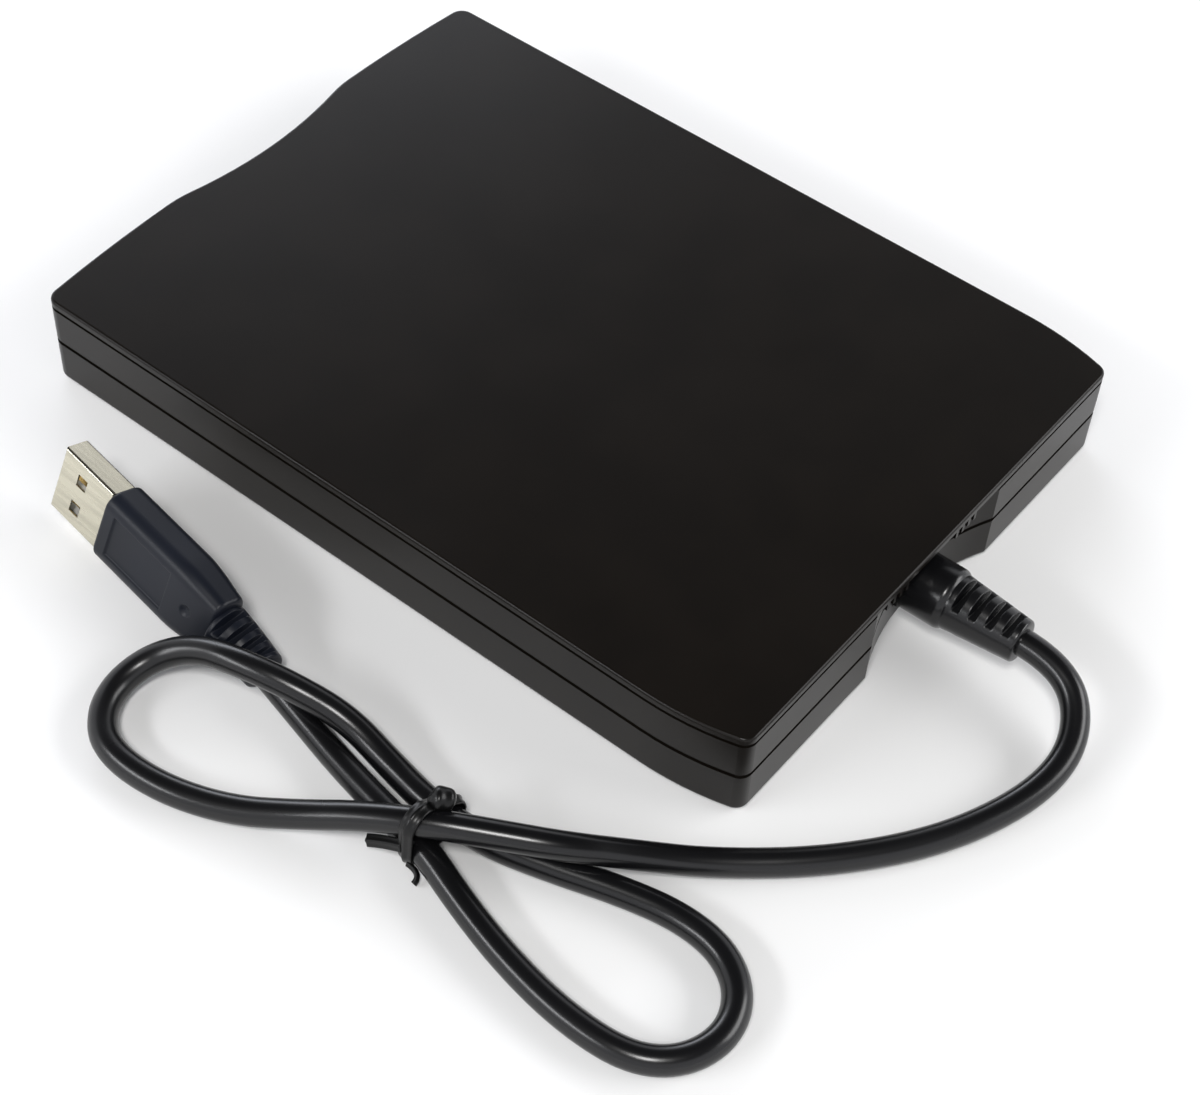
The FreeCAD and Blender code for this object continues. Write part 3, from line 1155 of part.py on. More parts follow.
def make_lead_screw():
    """Fine screw that moves the carriage, with a thin journal at its front end."""
    journal = rod(JOURNAL_RADIUS, V(SCREW_X, BRACKET_FRONT_Y, SCREW_Z), Y_DIR, BRACKET_THICKNESS + 1)
    start = BRACKET_FRONT_Y + BRACKET_THICKNESS + PART_CLEARANCE
    length = STEPPER_FRONT_Y - PART_CLEARANCE - start
    body = rod(LEAD_SCREW_RADIUS, V(SCREW_X, start, SCREW_Z), Y_DIR, length)
    return journal.fuse(body)


def make_stepper_motor():
    """Small round stepping motor behind the lead screw."""
    body = rod(STEPPER_RADIUS, V(SCREW_X, STEPPER_FRONT_Y, SCREW_Z), Y_DIR, STEPPER_LENGTH)
    rear = STEPPER_FRONT_Y + STEPPER_LENGTH
    foot = block((SCREW_X - STEPPER_FOOT_HALF_WIDTH, SCREW_X + STEPPER_FOOT_HALF_WIDTH),
                 (STEPPER_FRONT_Y, rear), (PLATE_TOP, SCREW_Z))
    below = block((SCREW_X - STEPPER_RADIUS - 1, SCREW_X + STEPPER_RADIUS + 1),
                  (STEPPER_FRONT_Y - 1, rear + 1), (PLATE_TOP - STEPPER_RADIUS, PLATE_TOP))
    return fuse([body.cut(below), foot])


def make_drive_board():
    low = PLATE_TOP + BOARD_STAND_OFF
    return block(DRIVE_BOARD_X, DRIVE_BOARD_Y, (low, low + BOARD_THICKNESS))


def chip(x, y, low, size):
    """A flat package on a board, from its middle, its underside and its size."""
    half_x, half_y = size[0] / 2, size[1] / 2
    return block((x - half_x, x + half_x), (y - half_y, y + half_y), (low, low + size[2]))


def make_drive_board_parts():
    """Controller chips, small parts and the ribbon's connector on the drive's board."""
    low = PLATE_TOP + BOARD_STAND_OFF + BOARD_THICKNESS
    left, right = DRIVE_BOARD_X
    front, rear = DRIVE_BOARD_Y
    connector = (RIBBON_WIDTH, CONNECTOR_DEPTH, CONNECTOR_HEIGHT)
    parts = [
        chip(left + CONTROLLER_PLACE[0], front + CONTROLLER_PLACE[1], low, CONTROLLER_CHIP),
        chip(right - MOTOR_CHIP_PLACE[0], front + MOTOR_CHIP_PLACE[1], low, MOTOR_CHIP),
        chip(left + REGULATOR_PLACE[0], rear - REGULATOR_PLACE[1], low, REGULATOR),
        chip(right - SMALL_PART_PLACE[0], rear - SMALL_PART_PLACE[1], low, SMALL_PART),
        chip(RIBBON_X, rear - CONNECTOR_DEPTH / 2 - CONNECTOR_MARGIN, low, connector),
    ]
    return Part.makeCompound(parts)


def usb_board_low():
    """Underside of the interface board."""
    return DRIVE_LOW + BOARD_STAND_OFF


def make_usb_board():
    low = usb_board_low()
    rear = USB_BOARD_FRONT_Y + USB_BOARD_DEPTH
    return block(USB_BOARD_X, (USB_BOARD_FRONT_Y, rear), (low, low + BOARD_THICKNESS))


def make_usb_board_parts():
    """Interface chip, crystal can, capacitor and connector on the interface board."""
    low = usb_board_low() + BOARD_THICKNESS
    right = USB_BOARD_X[1]
    rear = USB_BOARD_FRONT_Y + USB_BOARD_DEPTH
    connector = (RIBBON_WIDTH - 2, CONNECTOR_DEPTH, CONNECTOR_HEIGHT)
    connector_y = USB_BOARD_FRONT_Y + CONNECTOR_DEPTH / 2 + CONNECTOR_MARGIN
    parts = [
        chip(RIBBON_X + 1, rear - INTERFACE_CHIP_FROM_REAR, low, INTERFACE_CHIP),
        chip(right - CRYSTAL_PLACE[0], rear - CRYSTAL_PLACE[1], low, CRYSTAL_CAN),
        chip(right - CAPACITOR_PLACE[0], rear - CAPACITOR_PLACE[1], low, CAPACITOR),
        chip(RIBBON_X + 1, connector_y, low, connector),
    ]
    return Part.makeCompound(parts)


def make_ribbon():
    """Flat ribbon from the drive's board through the rear wall to the interface board."""
    start = V(0, DRIVE_BOARD_Y[1] - 0.35, PLATE_TOP + BOARD_STAND_OFF + BOARD_THICKNESS + 0.7)
    end = V(0, USB_BOARD_FRONT_Y + 0.25, usb_board_low() + BOARD_THICKNESS + 0.7)
    middle = (start + end) * 0.5 + Z_DIR * 0.9
    outer = arc(start, middle, end)
    rise = V(0, 0, RIBBON_THICKNESS)
    inner = arc(start + rise, middle + rise, end + rise)
    wire = Part.Wire([outer, line(end, end + rise), inner, line(start + rise, start)])
    ribbon = Part.Face(wire).extrude(V(RIBBON_WIDTH - 2, 0, 0))
    ribbon.translate(V(RIBBON_X - RIBBON_WIDTH / 2 + 1, 0, 0))
    return ribbon


def make_sense_switches():
    """Three small switches under the disk that sense it and its write-protect hole."""
    switches = []
    for x in SWITCH_XS:
        body = chip(x, SWITCH_Y, PLATE_TOP, (SWITCH_SIZE, SWITCH_SIZE, SWITCH_HEIGHT))
        base = V(x, SWITCH_Y, PLATE_TOP + SWITCH_HEIGHT - 0.1)
        plunger = rod(PLUNGER_RADIUS, base, Z_DIR, PLUNGER_HEIGHT + 0.1)
        switches.append(body.fuse(plunger))
    return Part.makeCompound(switches)


def basis_placement(point, x_axis, y_axis, z_axis):
    """A placement that carries the local axes onto three given directions."""
    return FreeCAD.Placement(point, FreeCAD.Rotation(x_axis, y_axis, z_axis, "ZXY"))


def relief_slots(start, direction, up, side, first, pitch, radius_at):
    """Cutters for the short cross slots of a strain relief, on its upper and lower faces."""
    cutters = []
    for index in range(RELIEF_SLOTS):
        along = first + index * pitch
        radius = radius_at(along)
        half = radius - RELIEF_SIDE_WALL
        for sign in (1, -1):
            cutter = Part.makeBox(2 * half, RELIEF_SLOT_WIDTH, radius + 1,
                                  V(-half, -RELIEF_SLOT_WIDTH / 2, RELIEF_CORE_RADIUS))
            cutter.Placement = basis_placement(start + direction * along, side * sign, direction, up * sign)
            cutters.append(cutter)
    return cutters


def make_strain_relief():
    """Moulded sleeve at the rear: flange inside the wall, neck, round head and slotted taper."""
    centre = V(GLAND_X, 0, GLAND_Z)
    flange_y = SCOOP_FLOOR_Y - WALL - GLAND_FLANGE_THICKNESS - PART_CLEARANCE
    half_w = GLAND_FLANGE_WIDTH / 2
    half_h = GLAND_FLANGE_HEIGHT / 2
    flange = block((GLAND_X - half_w, GLAND_X + half_w), (flange_y, flange_y + GLAND_FLANGE_THICKNESS),
                   (GLAND_Z - half_h, GLAND_Z + half_h))
    neck_half = GLAND_NECK_WIDTH / 2
    head_y = SCOOP_FLOOR_Y + 0.45
    neck = block((GLAND_X - neck_half, GLAND_X + neck_half), (flange_y, head_y + 0.5),
                 (GLAND_Z - neck_half, GLAND_Z + neck_half))
    head = rod(GLAND_HEAD_RADIUS, centre + Y_DIR * head_y, Y_DIR, GLAND_HEAD_LENGTH)
    rims = [edge for edge in head.Edges if edge.BoundBox.YLength < 1e-4]
    head = head.makeFillet(1.2, rims)
    taper_start = head_y + GLAND_HEAD_LENGTH - 1.6
    taper_length = GLAND_END_Y - taper_start
    taper = Part.makeCone(GLAND_SHOULDER_RADIUS, GLAND_END_RADIUS, taper_length,
                          centre + Y_DIR * taper_start, Y_DIR)
    body = fuse([flange, neck, head, taper])

    def radius_at(along):
        share = (along - taper_start) / taper_length
        return GLAND_SHOULDER_RADIUS + (GLAND_END_RADIUS - GLAND_SHOULDER_RADIUS) * share

    free_length = GLAND_END_Y - head_y - GLAND_HEAD_LENGTH
    pitch = free_length / (RELIEF_SLOTS + 0.2)
    first = head_y + GLAND_HEAD_LENGTH + pitch * 0.5
    for cutter in relief_slots(centre, Y_DIR, Z_DIR, X_DIR, first, pitch, radius_at):
        body = body.cut(cutter)
    return body


def make_cable_cores():
    """Four thin wires from the strain relief's inner end to the interface board."""
    start_y = SCOOP_FLOOR_Y - WALL - GLAND_FLANGE_THICKNESS - PART_CLEARANCE
    board_x = USB_BOARD_X[1] - 1.7 + CORE_RADIUS + 0.05
    wires = []
    for index in range(4):
        offset = (index - 1.5) * CORE_SPACING
        height = usb_board_low() + BOARD_THICKNESS + 1.3
        turn_y = start_y - CORE_FIRST_TURN - (index + 0.5) * CORE_SPACING * 0.8
        start = V(GLAND_X + offset, start_y, GLAND_Z)
        points = [start, V(start.x, turn_y, GLAND_Z), V(board_x, turn_y, height)]
        pieces = []
        for begin, finish in zip(points, points[1:]):
            along = finish - begin
            pieces.append(rod(CORE_RADIUS, begin, along, along.Length))
            pieces.append(Part.makeSphere(CORE_RADIUS, finish))
        wires.append(fuse(pieces))
    return Part.makeCompound(wires)


def plug_axes():
    """Tip, width and thickness directions of the plug as it leans on its narrow edge."""
    tip = V(PLUG_TIP_DIRECTION).normalize()
    upright = (Z_DIR - tip * Z_DIR.dot(tip)).normalize()
    sideways = tip.cross(upright)
    lean = math.radians(PLUG_LEAN)
    width = upright * math.cos(lean) + sideways * math.sin(lean)
    return tip, width, tip.cross(width)


def plug_block(tip_range, width_range, thick_range):
    """A box in the plug's own directions, measured from the middle of the mould's face."""
    tip, width, thick = plug_axes()
    box = block(thick_range, tip_range, width_range)
    box.Placement = basis_placement(PLUG_FACE, thick, tip, width)
    return box


def make_plug_shell():
    """Folded metal shell of the plug with two windows in each broad face."""
    half_w = PLUG_SHELL_WIDTH / 2
    half_t = PLUG_SHELL_THICKNESS / 2
    wall = PLUG_SHELL_WALL
    shell = plug_block((0, PLUG_SHELL_LENGTH), (-half_w, half_w), (-half_t, half_t))
    long_edges = [edge for edge in shell.Edges if abs(edge.Length - PLUG_SHELL_LENGTH) < 1e-4]
    shell = shell.makeFillet(0.5, long_edges)
    shell = shell.cut(plug_block((-1, PLUG_SHELL_LENGTH + 1), (-half_w + wall, half_w - wall),
                                 (-half_t + wall, half_t - wall)))
    middle = PLUG_SHELL_LENGTH - PLUG_WINDOW_FROM_TIP
    half = PLUG_WINDOW / 2
    for side in (-1, 1):
        centre = side * PLUG_WINDOW_SPACING / 2
        shell = shell.cut(plug_block((middle - half, middle + half), (centre - half, centre + half),
                                     (-half_t - 1, half_t + 1)))
    return shell


def make_plug_tongue():
    """Insulating tongue inside the plug's shell."""
    half_w = PLUG_SHELL_WIDTH / 2 - PLUG_SHELL_WALL - SHAFT_CLEARANCE
    top = PLUG_SHELL_THICKNESS / 2 - PLUG_SHELL_WALL - SHAFT_CLEARANCE
    return plug_block((0, PLUG_SHELL_LENGTH - 0.4), (-half_w, half_w), (top - TONGUE_THICKNESS, top))


def make_plug_contacts():
    """Four flat contacts on the tongue."""
    top = PLUG_SHELL_THICKNESS / 2 - PLUG_SHELL_WALL - SHAFT_CLEARANCE - TONGUE_THICKNESS
    contacts = []
    for index in range(4):
        low = (index - 1.5) * CONTACT_SPACING - CONTACT_WIDTH / 2
        contacts.append(plug_block((0, CONTACT_LENGTH), (low, low + CONTACT_WIDTH),
                                   (top - CONTACT_THICKNESS, top)))
    return Part.makeCompound(contacts)


def mould_section(back, scale):
    """The plug mould's eight-sided section at a distance behind its face."""
    tip, width, thick = plug_axes()
    half_w = MOULD_WIDTH / 2 * scale
    half_t = MOULD_THICKNESS / 2 * scale
    cut = MOULD_CHAMFER * scale
    corners = [(half_w - cut, half_t), (half_w, half_t - cut)]
    corners += [(half_w, cut - half_t), (half_w - cut, -half_t)]
    corners += [(-w, -t) for w, t in corners]
    points = [PLUG_FACE - tip * back + width * w + thick * t for w, t in corners]
    return Part.makePolygon(points + points[:1])


def make_plug_mould():
    """Plug body: straight part, taper towards the cord and a sunk plain panel on each face."""
    face = mould_section(0, 1.0)
    shoulder = mould_section(MOULD_STRAIGHT, 1.0)
    back = mould_section(MOULD_LENGTH, MOULD_TAPER)
    body = fuse([Part.makeLoft([face, shoulder], True, True), Part.makeLoft([shoulder, back], True, True)])
    half_w = MOULD_WIDTH / 2 - MOULD_PANEL_MARGIN
    half_t = MOULD_THICKNESS / 2
    for side in (-1, 1):
        low, high = sorted((side * (half_t - MOULD_PANEL_DEPTH), side * (half_t + 1)))
        body = body.cut(plug_block((MOULD_PANEL_MARGIN - MOULD_STRAIGHT, -MOULD_PANEL_MARGIN),
                                   (-half_w, half_w), (low, high)))
    return body


def make_plug_relief():
    """Slotted sleeve between the plug's mould and the cord, bent down a little."""
    tip, width, thick = plug_axes()
    start = PLUG_FACE - tip * MOULD_LENGTH
    end = V(*CORD_POINTS[-1])
    before = V(*CORD_POINTS[-2])
    end_direction = (before - end).normalize()
    reach = (end - start).Length

    def radius_at(along):
        share = along / reach
        return PLUG_RELIEF_START_RADIUS + (PLUG_RELIEF_END_RADIUS - PLUG_RELIEF_START_RADIUS) * share

    sections = []
    steps = 4
    for index in range(steps + 1):
        share = index / steps
        h00 = 2 * share ** 3 - 3 * share ** 2 + 1
        h10 = share ** 3 - 2 * share ** 2 + share
        h01 = -2 * share ** 3 + 3 * share ** 2
        h11 = share ** 3 - share ** 2
        point = start * h00 - tip * (reach * h10) + end * h01 + end_direction * (reach * h11)
        direction = -tip * (1 - share) + end_direction * share
        radius = radius_at(reach * share)
        sections.append(Part.Wire(Part.makeCircle(radius, point, direction.normalize())))
    body = Part.makeLoft(sections, True, False)
    chord = (end - start).normalize()
    side = (width - chord * width.dot(chord)).normalize()
    up = side.cross(chord)

    pitch = reach / (RELIEF_SLOTS + 0.6)
    for cutter in relief_slots(start, chord, up, side, pitch * 0.8, pitch, radius_at):
        body = body.cut(cutter)
    return body


def cord_path():
    """Straight runs joined by tangent arcs, each as large as its two runs allow."""
    points = [V(*point) for point in CORD_POINTS]
    edges = []
    radii = []
    begin = points[0]
    for before, corner, after in zip(points, points[1:], points[2:]):
        to_before = (before - corner).normalize()
        to_after = (after - corner).normalize()
        half = to_before.getAngle(to_after) / 2
        reach = 0.45 * min((before - corner).Length, (after - corner).Length)
        radius = reach * math.tan(half)
        radii.append(radius)
        start, middle, end = tangent_corner(before, corner, after, radius)
        edges.append(line(begin, start))
        edges.append(arc(start, middle, end))
        begin = end
    edges.append(line(begin, points[-1]))
    return Part.Wire(edges), radii


def make_cord():
    """The whole free cord as one round tube."""
    path, radii = cord_path()
    start = V(*CORD_POINTS[0])
    direction = V(*CORD_POINTS[1]) - start
    section = Part.Wire(Part.makeCircle(CORD_DIAMETER / 2, start, direction.normalize()))
    tube = path.makePipeShell([section], True, False)
    expected = math.pi * (CORD_DIAMETER / 2) ** 2 * path.Length
    print("cord bend radii, mm:", [round(radius, 1) for radius in radii])
    print("cord length, mm:", round(path.Length, 1))
    print("cord volume over section times length:", round(tube.Volume / expected, 4))
    return tube


def make_twist_tie():
    """Flat wire tie drawn round the three strands, with its twisted ends on top."""
    centres = [V(x, 0, z) for x, z in TIE_STRANDS]
    loop = Part.makePolygon(centres + centres[:1])
    inner_reach = CORD_DIAMETER / 2 + TIE_SLACK
    outer = Part.Face(loop.makeOffset2D(inner_reach + TIE_THICKNESS))
    inner = Part.Face(loop.makeOffset2D(inner_reach))
    band = outer.cut(inner).extrude(V(0, TIE_WIDTH, 0))
    band.translate(V(0, TIE_Y - TIE_WIDTH / 2, 0))
    top_x, top_z = TIE_STRANDS[2]
    root = V(top_x - TIE_TWIST_OFFSET, TIE_Y, top_z + inner_reach)
    lean = V(TIE_TWIST_DIRECTION).normalize()
    twist = Part.makeCone(TIE_TWIST_RADIUS, TIE_TWIST_RADIUS * 0.6, TIE_TWIST_LENGTH, root, lean)
    return fuse([band, twist])


def main():
    """Make every sub-part and write it to its file."""
    os.makedirs("parts", exist_ok=True)
    makers = {
        "top_cover": make_top_cover,
        "bottom_case": make_bottom_case,
        "rubber_feet": make_feet,
        "case_screws": make_case_screws,
        "drive_screws": make_drive_screws,
        "front_bezel": make_front_bezel,
        "slot_flap": make_slot_flap,
        "eject_button": make_eject_button,
        "lamp_light_pipe": make_light_pipe,
        "drive_chassis": make_drive_chassis,
        "drive_lid": make_drive_lid,
        "lid_screws": make_lid_screws,
        "disk_cage": make_disk_cage,
        "cage_pins": make_cage_pins,
        "eject_slider": make_eject_slider,
        "shutter_lever": make_shutter_lever,
        "lever_post": make_lever_post,
        "lever_spring": make_lever_spring,
        "motor_board": make_motor_board,
        "stator_coils": make_stator_coils,
        "spindle_bearing": make_spindle_bearing,
        "rotor": make_rotor,
        "spindle_hub": make_spindle_hub,
        "drive_pin": make_drive_pin,
        "head_carriage": make_head_carriage,
        "lower_head": make_lower_head,
        "head_arm": make_head_arm,
        "upper_head": make_upper_head,
        "arm_pin": make_arm_pin,
        "lead_screw": make_lead_screw,
        "stepper_motor": make_stepper_motor,
        "drive_board": make_drive_board,
        "drive_board_parts": make_drive_board_parts,
        "usb_board": make_usb_board,
        "usb_board_parts": make_usb_board_parts,
        "ribbon_cable": make_ribbon,
        "sense_switches": make_sense_switches,
        "strain_relief": make_strain_relief,
        "cable_cores": make_cable_cores,
        "cord": make_cord,
        "twist_tie": make_twist_tie,
        "plug_relief": make_plug_relief,
        "plug_mould": make_plug_mould,
        "plug_shell": make_plug_shell,
        "plug_tongue": make_plug_tongue,
        "plug_contacts": make_plug_contacts,
    }
    for name, maker in makers.items():
        save(name, maker())
    for side, word in ((-1, "left"), (1, "right")):
        save("guide_rod_" + word, make_guide_rod(side))
        save("slider_spring_" + word, make_slider_spring(side))


main()
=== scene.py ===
# %% [markdown]
# # Looks of a slim external disk drive
#
# This file gives every piece its finish and makes again, with finer rounding, the soft and moulded
# pieces that the eye goes to: the cord, the slotted sleeve where it leaves the case, the plug's
# body and relief, and the twist tie. It also winds three springs again.
# Everything is in metres. +Z is up, +Y points to the cord's side and -Y to the disk slot.

# %% Load the frame
import json
import math

import bpy
import numpy as np
from mathutils import Matrix, Vector


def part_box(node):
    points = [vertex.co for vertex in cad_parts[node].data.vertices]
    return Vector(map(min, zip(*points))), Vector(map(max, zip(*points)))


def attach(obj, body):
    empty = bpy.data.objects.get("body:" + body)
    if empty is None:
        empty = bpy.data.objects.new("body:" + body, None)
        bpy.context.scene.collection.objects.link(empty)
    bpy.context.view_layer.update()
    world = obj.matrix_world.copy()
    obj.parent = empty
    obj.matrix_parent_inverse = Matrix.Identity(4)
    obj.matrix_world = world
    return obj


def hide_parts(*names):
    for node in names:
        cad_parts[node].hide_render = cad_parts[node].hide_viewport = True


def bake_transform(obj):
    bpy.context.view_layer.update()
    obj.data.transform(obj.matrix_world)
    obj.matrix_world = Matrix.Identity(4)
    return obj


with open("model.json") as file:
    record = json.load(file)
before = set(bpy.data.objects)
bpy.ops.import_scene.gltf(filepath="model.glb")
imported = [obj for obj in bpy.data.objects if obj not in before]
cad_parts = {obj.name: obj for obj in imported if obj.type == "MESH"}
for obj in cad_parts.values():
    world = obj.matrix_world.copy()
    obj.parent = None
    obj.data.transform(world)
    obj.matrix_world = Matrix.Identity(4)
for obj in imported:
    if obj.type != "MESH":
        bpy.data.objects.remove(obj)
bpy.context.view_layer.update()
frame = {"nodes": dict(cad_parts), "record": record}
nodes = frame["nodes"]
slot_of_node = {entry["node"]: entry["material_slot"] for entry in frame["record"]["subparts"]}
print("loaded", len(nodes), "nodes in", len(set(slot_of_node.values())), "finishes")

# %% [markdown]
# ## Camera
#
# The drive was photographed from above one of its rear corners, from about 0.4 m away. Where a
# camera stands decides the whole perspective, so it comes first: an aim point on the table, the
# direction back to the lens, a small roll, and a lens of medium length.

# %% Place the camera
MM = 0.001
CAMERA_AIM = np.array([22.13, 23.35, 0.0]) * MM
CAMERA_BACK = np.array([0.52907, 0.38189, 0.75779])
CAMERA_DISTANCE = 391.12 * MM
CAMERA_ROLL = math.radians(3.79)
CAMERA_LENS = 72.95
SENSOR_WIDTH = 36.0
NEAREST_SEEN = 0.01


def unit(vector):
    """The vector divided by its own length, along the last axis."""
    return vector / np.linalg.norm(vector, axis=-1, keepdims=True)


back = unit(CAMERA_BACK)
level_right = unit(np.cross(-back, [0.0, 0.0, 1.0]))
level_up = np.cross(level_right, -back)
right = level_right * math.cos(CAMERA_ROLL) + level_up * math.sin(CAMERA_ROLL)
up = level_up * math.cos(CAMERA_ROLL) - level_right * math.sin(CAMERA_ROLL)
eye = CAMERA_AIM + back * CAMERA_DISTANCE
camera_data = bpy.data.cameras.new("camera")
camera_data.lens = CAMERA_LENS
camera_data.sensor_width = SENSOR_WIDTH
camera_data.sensor_fit = "HORIZONTAL"
camera_data.clip_start = NEAREST_SEEN
camera = bpy.data.objects.new("camera", camera_data)
columns = np.column_stack([right, up, back, eye])
camera.matrix_world = Matrix(columns.tolist() + [[0.0, 0.0, 0.0, 1.0]])
bpy.context.scene.collection.objects.link(camera)
bpy.context.scene.camera = camera
bpy.context.scene.view_settings.view_transform = "Standard"
print("camera at", [round(float(value), 4) for value in eye])

# %% [markdown]
# ## The cord's route
#
# The cord leaves the rear wall, sweeps round the corner, is tied into two loops beside the drive
# and ends in the plug. Its route is a list of points set from the photograph; where two
# strands cross, one is lifted over the other. A round cord along such a route is a curve with a
# bevel: the curve is the cord's middle line and the bevel gives it its thickness, so its length
# stays true.

# %% Lay the cord
CORD_DIAMETER = 4.5 * MM
CORD_STEPS = 8
CORD_ROUNDNESS = 6
CORD_POINTS = [
    (0.8, 88.5, 8.6),
    (0.8, 94.0, 8.6),
    (3.4, 100.4, 6.6),
    (10.6, 104.2, 3.8),
    (21.0, 103.2, 2.3),
    (35.5, 97.2, 2.3),
    (49.0, 86.7, 2.3),
    (60.0, 74.2, 2.3),
    (67.4, 65.2, 4.4),
    (74.2, 58.4, 7.5),
    (79.6, 49.2, 8.1),
    (84.3, 40.9, 8.3),
    (88.3, 32.6, 6.6),
    (92.7, 24.4, 3.9),
    (98.1, 15.2, 2.3),
    (101.8, 4.6, 2.3),
    (102.1, -5.6, 2.3),
    (98.5, -11.2, 2.3),
    (92.4, -13.7, 2.6),
    (86.0, -12.0, 4.4),
    (82.3, -6.5, 7.2),
    (81.2, 1.0, 9.2),
    (79.1, 9.6, 8.6),
    (76.4, 18.4, 5.5),
    (77.3, 28.0, 3.0),
    (79.2, 37.6, 3.5),
    (78.4, 47.2, 2.7),
    (75.4, 57.2, 2.3),
    (72.2, 66.6, 2.3),
    (70.0, 75.9, 2.3),
    (70.5, 84.1, 2.3),
    (74.6, 90.3, 2.3),
    (81.3, 92.7, 2.3),
    (88.2, 90.3, 2.3),
    (92.4, 84.2, 2.3),
    (93.0, 73.6, 2.3),
    (91.4, 62.4, 2.3),
    (88.6, 51.6, 2.6),
    (85.3, 41.2, 3.6),
    (83.5, 30.9, 2.9),
    (81.3, 20.8, 2.3),
    (78.9, 11.0, 2.5),
    (77.1, 2.2, 3.5),
]
cord_points = np.array(CORD_POINTS) * MM
cord_curve = bpy.data.curves.new("cord_run", "CURVE")
cord_curve.dimensions = "3D"
cord_curve.resolution_u = CORD_STEPS
cord_curve.bevel_depth = CORD_DIAMETER / 2
cord_curve.bevel_resolution = CORD_ROUNDNESS
cord_curve.use_fill_caps = True
cord_spline = cord_curve.splines.new("NURBS")
cord_spline.points.add(len(cord_points) - 1)
weighted = np.column_stack([cord_points, np.ones(len(cord_points))])
cord_spline.points.foreach_set("co", weighted.ravel())
cord_spline.order_u = 3
cord_spline.use_endpoint_u = True
cord_run = bpy.data.objects.new("cord_run", cord_curve)
bpy.context.scene.collection.objects.link(cord_run)
print("cord through", len(cord_points), "points")

# %% [markdown]
# ## Helpers for all new pieces
#
# Every new piece but the cord is a surface on a grid: rows run along the piece, and each row is a
# closed ring of points round it. Joining each point to its neighbours gives four-sided faces, and
# a flat face on the first and last ring closes the ends, so the piece is a solid skin with no
# holes. Where a moulding ends in an edge, its rings are drawn in by a quarter circle, so that the
# edge is rounded.

# %% Grid to mesh
def ring_faces(rows, count):
    """Four-sided faces between neighbouring rings: point j of row i joins j + 1 and row i + 1."""
    i, j = np.meshgrid(np.arange(rows - 1), np.arange(count), indexing="ij")
    after = (j + 1) % count
    corners = [i * count + j, i * count + after, (i + 1) * count + after, (i + 1) * count + j]
    return np.stack(corners, axis=-1).reshape(-1, 4)


def mesh_points(mesh):
    """The places of a mesh's points, as an array with three columns."""
    points = np.zeros(len(mesh.vertices) * 3)
    mesh.vertices.foreach_get("co", points)
    return points.reshape(-1, 3)


def turn_outwards(mesh):
    """Flip every face if the skin's signed volume, the sum of corner triple products, is under 0."""
    mesh.calc_loop_triangles()
    points = mesh_points(mesh)
    triangles = np.zeros(len(mesh.loop_triangles) * 3, dtype=np.int32)
    mesh.loop_triangles.foreach_get("vertices", triangles)
    a, b, c = (points[triangles.reshape(-1, 3)[:, k]] for k in range(3))
    if np.einsum("ij,ij->i", a, np.cross(b, c)).sum() < 0:
        mesh.flip_normals()
    mesh.update()


def skin(name, grid, closed_rows=False):
    """A mesh from a grid of points, shaped rows x count x 3, with its faces turned outwards. Where
    the rows are closed, the last one joins the first, and otherwise both get a flat end."""
    rows, count = grid.shape[:2]
    if closed_rows:
        faces = (ring_faces(rows + 1, count) % (rows * count)).tolist()
    else:
        first_ring = list(range(count))
        last_ring = list(range((rows - 1) * count, rows * count))
        faces = ring_faces(rows, count).tolist() + [first_ring[::-1], last_ring]
    mesh = bpy.data.meshes.new(name)
    mesh.from_pydata(grid.reshape(-1, 3).tolist(), [], faces)
    mesh.validate()
    mesh.shade_smooth()
    piece = bpy.data.objects.new(name, mesh)
    bpy.context.scene.collection.objects.link(piece)
    turn_outwards(mesh)
    print(name, "has", len(mesh.polygons), "faces")
    return piece


# %% Rings, steps and edges
def ring_grid(centre, radius, angle, side, top):
    """Rings of points: centre plus radius times cosine along side and radius times sine along top."""
    side = np.atleast_2d(side)[:, None, :]
    top = np.atleast_2d(top)[:, None, :]
    grid = centre[:, None, :] + (radius * np.cos(angle))[:, :, None] * side
    return grid + (radius * np.sin(angle))[:, :, None] * top


def smooth_step(value, low, high):
    """0 below low, 1 above high and an even S between them: 3 t squared minus 2 t cubed."""
    t = np.clip((value - low) / (high - low), 0.0, 1.0)
    return t * t * (3.0 - 2.0 * t)


def edge_inset(along, length, edge):
    """How far a section is drawn in near both ends: the gap between a quarter circle and its box."""
    near = np.clip(edge - along, 0.0, edge)
    far = np.clip(along - length + edge, 0.0, edge)
    return 2 * edge - np.sqrt(edge**2 - near**2) - np.sqrt(edge**2 - far**2)


# %% [markdown]
# ## Sleeve at the rear wall
#
# A soft black sleeve keeps the cord from kinking where it leaves the case. It has a smooth round
# head, then a taper with four cross slots above and four below, so that it bends easily. It is
# turned from a profile, its radius along the cord, and where a slot runs the radius falls to a
# flat face over the core.

# %% Make the sleeve
SLEEVE_X = 0.8 * MM
SLEEVE_Z = 8.6 * MM
SLEEVE_START_Y = 67.95 * MM
SLEEVE_HEAD_LENGTH = 8.6 * MM
SLEEVE_END_Y = 88.5 * MM
SLEEVE_HEAD_RADIUS = 5.2 * MM
SLEEVE_SHOULDER_RADIUS = 4.7 * MM
SLEEVE_END_RADIUS = 3.6 * MM
SLEEVE_EDGE = 1.5 * MM
SLEEVE_END_EDGE = 0.5 * MM
SLEEVE_OVERLAP = 1.0 * MM
